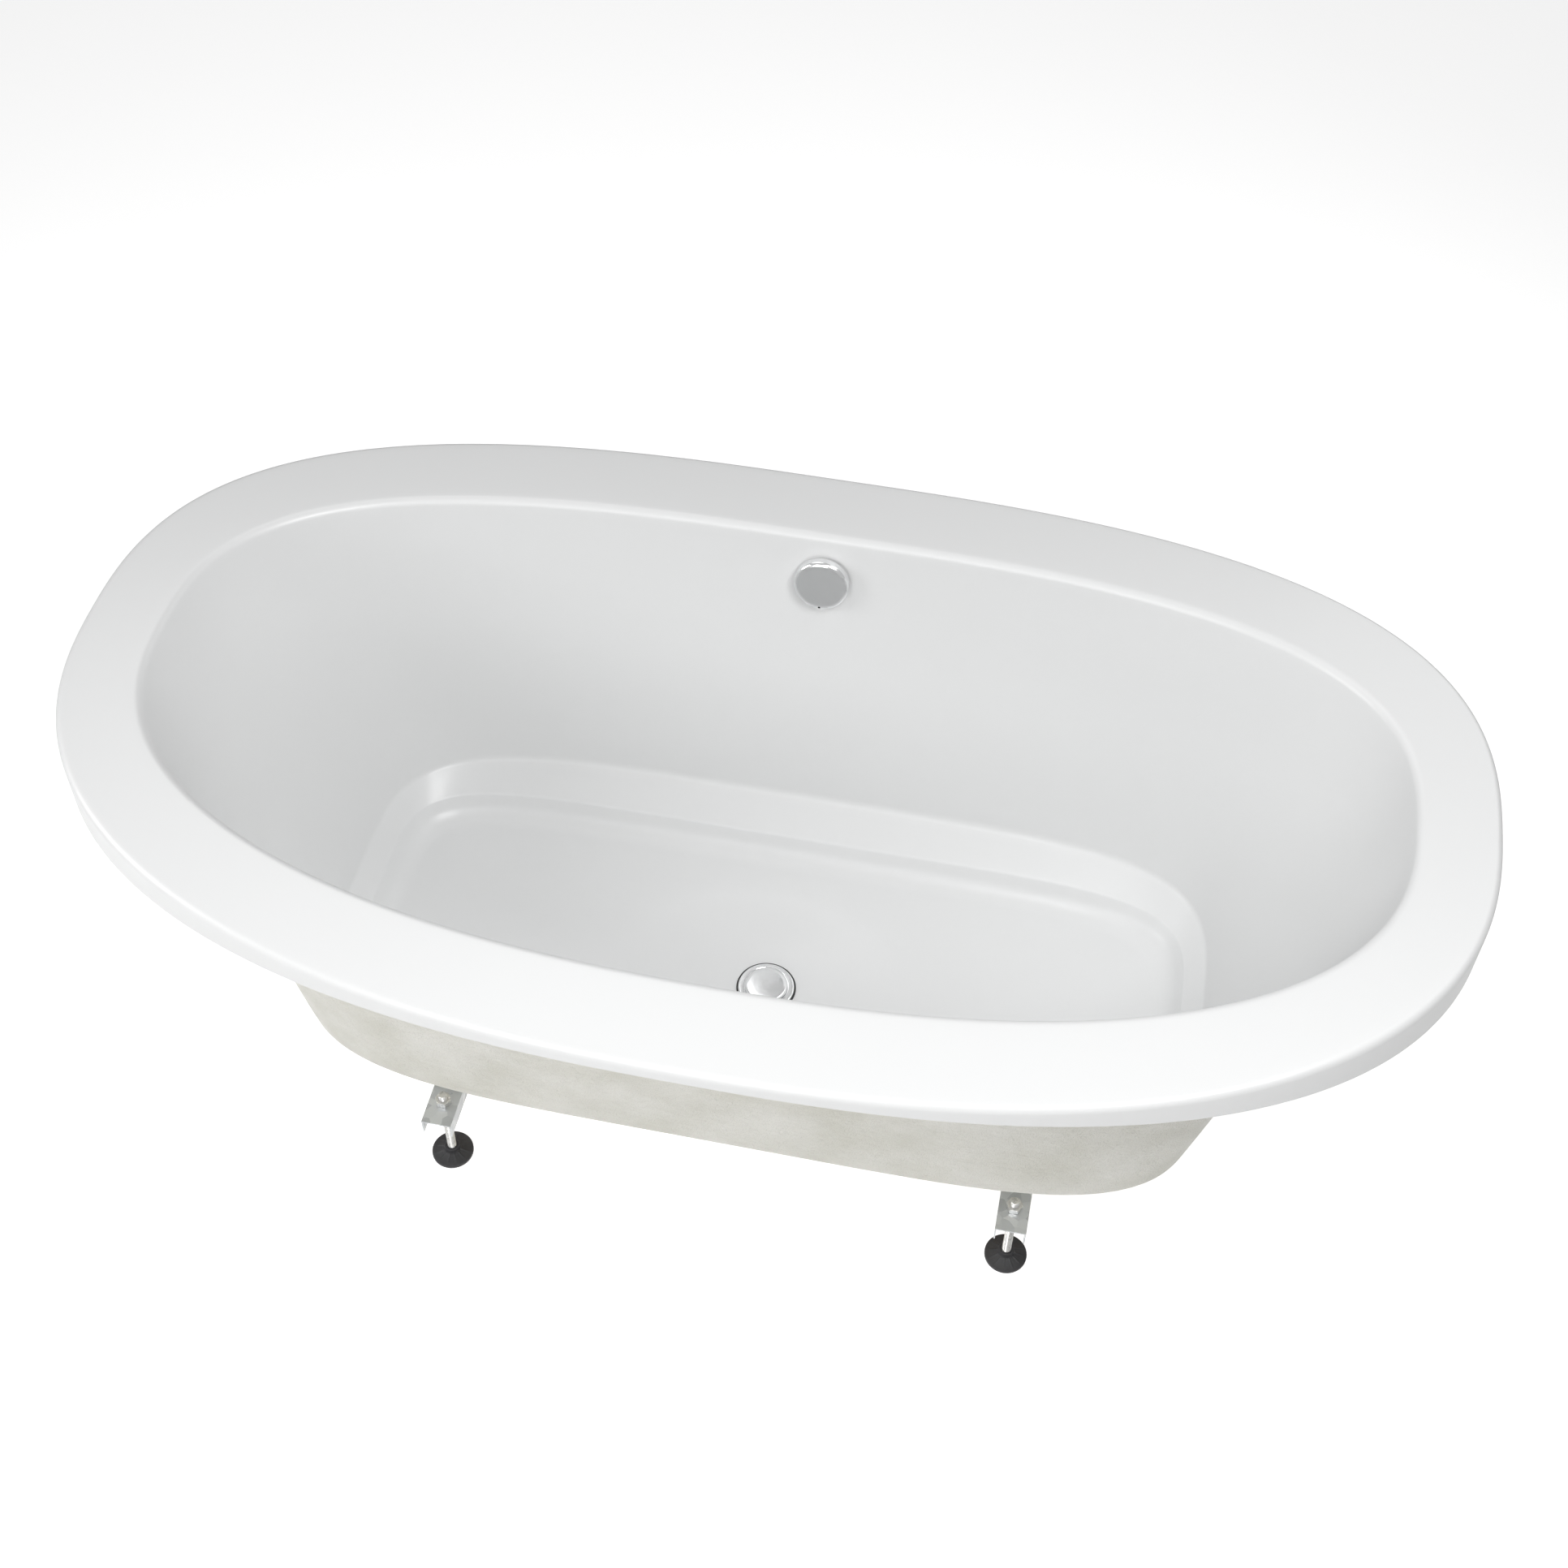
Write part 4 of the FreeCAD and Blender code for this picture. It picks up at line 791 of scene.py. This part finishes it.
def ribbed_nut(node, axis, bore, outer, length, ribs, deep):
    """A ribbed collar in place of the node, in the middle of the node's box."""
    middle = node_centre(node)
    place = along(axis, middle - axis * length / 2)
    vertices, faces = ribbed_collar(place, bore, outer, length, ribs, deep)
    stand_in(node + "_ribbed", vertices, faces, node, sharp=50)


def union_nuts():
    """The trap's nuts and the hose's clamps, all turned by hand."""
    upward, backward = Vector((0, 0, 1)), Vector((0, 1, 0))
    for node, axis in (("trap_inlet_nut", upward), ("trap_joint_nut", upward),
                       ("outlet_nut", backward)):
        ribbed_nut(node, axis, PIPE_RADIUS + FIT, UNION_RADIUS, UNION_LENGTH, 20, 1.6 * MM)
    for node, axis in (("hose_clamp_upper", upward), ("hose_clamp_lower", backward)):
        ribbed_nut(node, axis, HOSE_RADIUS + FIT, CLAMP_RADIUS, CLAMP_LENGTH, 18, 1.0 * MM)


def cleaning_cap():
    """A ribbed screw cap with a bar across it to turn it by."""
    low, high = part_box("cleaning_cap")
    middle, forward = (low + high) / 2, Vector((0, -1, 0))
    place = along(forward, Vector((middle.x, high.y, middle.z)))
    radius, tall, bore = EYE_CAP_RADIUS, high.y - low.y, EYE_BORE + FIT
    ribs, rib_tall = 24, 0.7 * MM

    def swell(turn, r, z):
        grip = r > radius - 0.2 * MM and 1.2 * MM < z < 6.2 * MM
        return r - rib_tall * (0.5 - 0.5 * cos(ribs * turn)) if grip else r

    face = tall - 2.4 * MM
    outline = [(bore, 0), (radius - 0.5 * MM, 0), (radius, 0.8 * MM), (radius, 2 * MM),
               (radius, 5.5 * MM), (radius - 0.2 * MM, 6.6 * MM), (radius - 1 * MM, face),
               (0.4 * MM, face), (0.4 * MM, 7 * MM), (bore, 7 * MM)]
    shell = lathe(outline, place, around=192, closed=True, swell=swell)
    sunk = 0.2 * MM
    bar = rounded_bar(place @ upright(0, 0, face - sunk), 21 * MM, 4.5 * MM, tall - face + sunk)
    vertices, faces = merged([shell, bar])
    stand_in("cleaning_cap_grip", vertices, faces, "cleaning_cap", sharp=50)


def plug_cap():
    """The plug's polished cap, nearly flat on top, with a rolled edge over its seal."""
    low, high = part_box("plug_cap")
    radius, foot, crown = high.x, low.z, high.z - low.z
    dome = [(radius * share, crown - 0.5 * MM * share ** 2) for share in (0.8, 0.6, 0.4, 0.2, 0.01)]
    outline = [(STEM_RADIUS + FIT, 0), (radius - 1 * MM, 0), (radius - 0.2 * MM, 0.5 * MM),
               (radius, 1.2 * MM), (radius - 0.3 * MM, 2.4 * MM), (radius - 1.2 * MM, 3.4 * MM),
               (radius - 3 * MM, crown - 0.8 * MM)]
    vertices, faces = lathe(outline + dome, upright(0, 0, foot), around=128)
    stand_in("plug_cap_dome", vertices, faces, "plug_cap", sharp=50)


def waste_flange():
    """The chrome ring round the plug, with its groove, its threaded tail and a three-armed guide."""
    low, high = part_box("waste_flange")
    ring = lathe(flange_outline(low.z, high.z, high.x), upright(0, 0, 0), around=128, closed=True,
                 radius=0.1 * MM)
    foot, bore = low.z + 6 * MM, STEM_RADIUS + FIT
    hub = lathe([(bore, foot), (HUB_RADIUS, foot), (HUB_RADIUS, foot + HUB_TALL),
                 (bore, foot + HUB_TALL)], upright(0, 0, 0), around=64, closed=True, radius=0.4 * MM)
    arms = []
    for third in range(3):
        turn = Matrix.Rotation(radians(120 * third), 4, "Z")
        place = turn @ upright(0, HUB_RADIUS - 0.5 * MM, foot + 1 * MM)
        arms.append(box_at(place, ARM_THICK, THROAT - 6 * MM, ARM_TALL))
    vertices, faces = merged([ring, hub] + arms)
    stand_in("waste_flange_polished", vertices, faces, "waste_flange", sharp=40)


def flange_outline(bottom, top, radius):
    """The ring's section as (radius, height): up the thread, over the ring and down the throat."""
    seat, pitch, deep = top - FLANGE_THICK, 2 * MM, 0.8 * MM
    thread = []
    height = bottom + 1 * MM
    while height < seat - 5 * MM:
        thread += [(TAIL_RADIUS - deep, height), (TAIL_RADIUS, height + 0.9 * MM),
                   (TAIL_RADIUS, height + 1.1 * MM)]
        height += pitch
    return [(THROAT, bottom), (TAIL_RADIUS - 1 * MM, bottom)] + thread + [
        (TAIL_RADIUS - deep, seat - 3 * MM), (TAIL_RADIUS, seat - 2 * MM), (TAIL_RADIUS, seat),
        (radius - 1 * MM, seat), (radius, seat + 0.6 * MM), (radius, seat + 1.6 * MM),
        (radius - 0.7 * MM, top - 0.4 * MM), (radius - 2 * MM, top),
        (GROOVE_RADIUS + 0.6 * MM, top), (GROOVE_RADIUS, top - 0.4 * MM),
        (GROOVE_RADIUS, top - GROOVE_DEPTH), (THROAT + 4 * MM, top - GROOVE_DEPTH),
        (THROAT, seat - 0.5 * MM)]


# ---------------------------------------------------------------- the overflow
def overflow_knob():
    """The chrome knob: a slightly domed face, a soft edge, a sloping grip and a grub screw's hole."""
    place = overflow_place()
    outline = knob_hollow() + knob_edge() + knob_face()
    vertices, faces = lathe(outline, place @ upright(0, 0, KNOB_GAP), around=192, radius=0.3 * MM)
    knob = stand_in("overflow_knob_polished", vertices, faces, "overflow_knob", sharp=40)
    face = place @ upright(0, 0, KNOB_GAP + KNOB_TALL)
    slope = Matrix.Rotation(-GRIP_SLOPE, 4, "X")
    grip = arched_block(face @ upright(0, GRIP_STATION, 0) @ slope, KNOB_RADIUS, GRIP_ARCH)
    carve(knob, grip, sharp=40)
    screw_way = face.to_3x3() @ Vector((0, -0.55, 0.83)).normalized()
    screw_foot = face @ Vector((0, 4.6 * MM - KNOB_RADIUS, -1.5 * MM))
    screw_radius, reach = 1.7 * MM, 4 * MM
    hole = lathe([(screw_radius, -reach), (screw_radius, reach)], along(screw_way, screw_foot),
                 around=32, radius=0)
    carve(knob, hole, sharp=40)


def knob_hollow():
    """The knob's underside as (radius, height), from its middle out: a socket and a wide recess."""
    return [(0.4 * MM, 3 * MM), (SPINDLE_RADIUS + FIT, 3 * MM), (9 * MM, 0), (11 * MM, 0),
            (11 * MM, 4 * MM), (KNOB_RADIUS - 5 * MM, 4 * MM)]


def knob_edge():
    """The rim of the knob, which turns over into its face in a quarter of an ellipse."""
    rim, over, steps = 9 * MM, 8 * MM, 8
    rise = KNOB_TALL - 0.7 * MM - rim
    edge = [(KNOB_RADIUS - 3 * MM, 0), (KNOB_RADIUS - 0.5 * MM, 0.2 * MM), (KNOB_RADIUS, 0.9 * MM),
            (KNOB_RADIUS, rim)]
    for step in range(1, steps + 1):
        turn = step / steps * pi / 2
        edge.append((KNOB_RADIUS - over * (1 - cos(turn)), rim + rise * sin(turn)))
    return edge


def knob_face():
    """The face, which falls a little from its middle to its edge."""
    fall = 1.1 * MM
    return [(KNOB_RADIUS * share, KNOB_TALL - fall * share ** 2)
            for share in (0.78, 0.6, 0.42, 0.25, 0.1, 0.01)]


def route_points(controls):
    """Points along the smooth NURBS line that the control points give."""
    curve = bpy.data.curves.new("route", "CURVE")
    curve.dimensions = "3D"
    curve.resolution_u = 120
    spline = curve.splines.new("NURBS")
    spline.points.add(len(controls) - 1)
    for point, control in zip(spline.points, controls):
        point.co = (*control, 1)
    spline.order_u = 3
    spline.use_endpoint_u = True
    line = bpy.data.objects.new("route", curve)
    bpy.context.scene.collection.objects.link(line)
    bpy.context.view_layer.update()
    mesh = bpy.data.meshes.new_from_object(line)
    points = [v.co.copy() for v in mesh.vertices]
    bpy.data.objects.remove(line)
    return points


def evenly(points, pitch):
    """Points along the same line about a pitch apart, and its length."""
    travelled = [0.0]
    for before, here in zip(points, points[1:]):
        travelled.append(travelled[-1] + (here - before).length)
    length = travelled[-1]
    count = round(length / pitch)
    wanted = np.linspace(0, length, count + 1)
    columns = [np.interp(wanted, travelled, [p[axis] for p in points]) for axis in range(3)]
    return [Vector(p) for p in zip(*columns)], length


def overflow_hose():
    """Corrugated pipe between two plain cuffs, down behind the wall and forward under the floor."""
    low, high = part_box("overflow_hose")
    back = high.y - HOSE_RADIUS
    controls = [(0, back, high.z), (0, back, HOSE_LEVEL + HOSE_BEND), (0, back, HOSE_LEVEL),
                (0, back - HOSE_BEND, HOSE_LEVEL), (0, low.y, HOSE_LEVEL)]
    points, length = evenly(route_points(controls), RING_PITCH / 8)
    last = len(points) - 1
    side = Vector((1, 0, 0))
    outer = []
    for i, here in enumerate(points):
        way = (points[min(i + 1, last)] - points[max(i - 1, 0)]).normalized()
        outer.append((here, side.cross(way), corrugated_radius(length * i / last, length)))
    inner = [(here, up, HOSE_BORE) for here, up, _ in outer[::-4]]
    around, vertices = 48, []
    for here, up, reach in outer + inner:
        for k in range(around):
            turn = 2 * pi * k / around
            vertices.append(here + (side * cos(turn) + up * sin(turn)) * reach)
    stand_in("overflow_hose_rings", vertices, grid_faces(len(outer + inner), around, True),
             "overflow_hose", sharp=60)


def corrugated_radius(travelled, length):
    """The hose's outside radius this far along it: even at the cuffs, ringed between them."""
    room = min(travelled, length - travelled)
    wave = 0.5 - 0.5 * cos(2 * pi * travelled / RING_PITCH)
    return HOSE_RADIUS - RING_DEPTH * min(1, max(0, (room - CUFF) / RING_PITCH)) * wave ** 0.7


# ---------------------------------------------------------------- carried-over CAD nodes
def finish_cad_nodes():
    """Every CAD node gets its slot's finish."""
    for name, node in frame["nodes"].items():
        node.data.materials.clear()
        node.data.materials.append(materials[slot_of(name)])


# ---------------------------------------------------------------- the scene
look_from(Vector((30.3 * MM, -63.5 * MM, RIM_HEIGHT)), azimuth=10.5, elevation=49.7, roll=1.3,
          distance=2.557, focal=49.906)
bpy.context.scene.view_settings.view_transform = "Standard"
materials = make_materials()
light_studio()
pale_room()
lay_floor()
finish_cad_nodes()
bath_shell()
reinforcement_laminate()
for corner_name in CORNERS:
    threaded_rod("foot_rod_" + corner_name)
    foot_pad("foot_pad_" + corner_name)
bar_nuts()
union_nuts()
cleaning_cap()
plug_cap()
waste_flange()
overflow_knob()
overflow_hose()
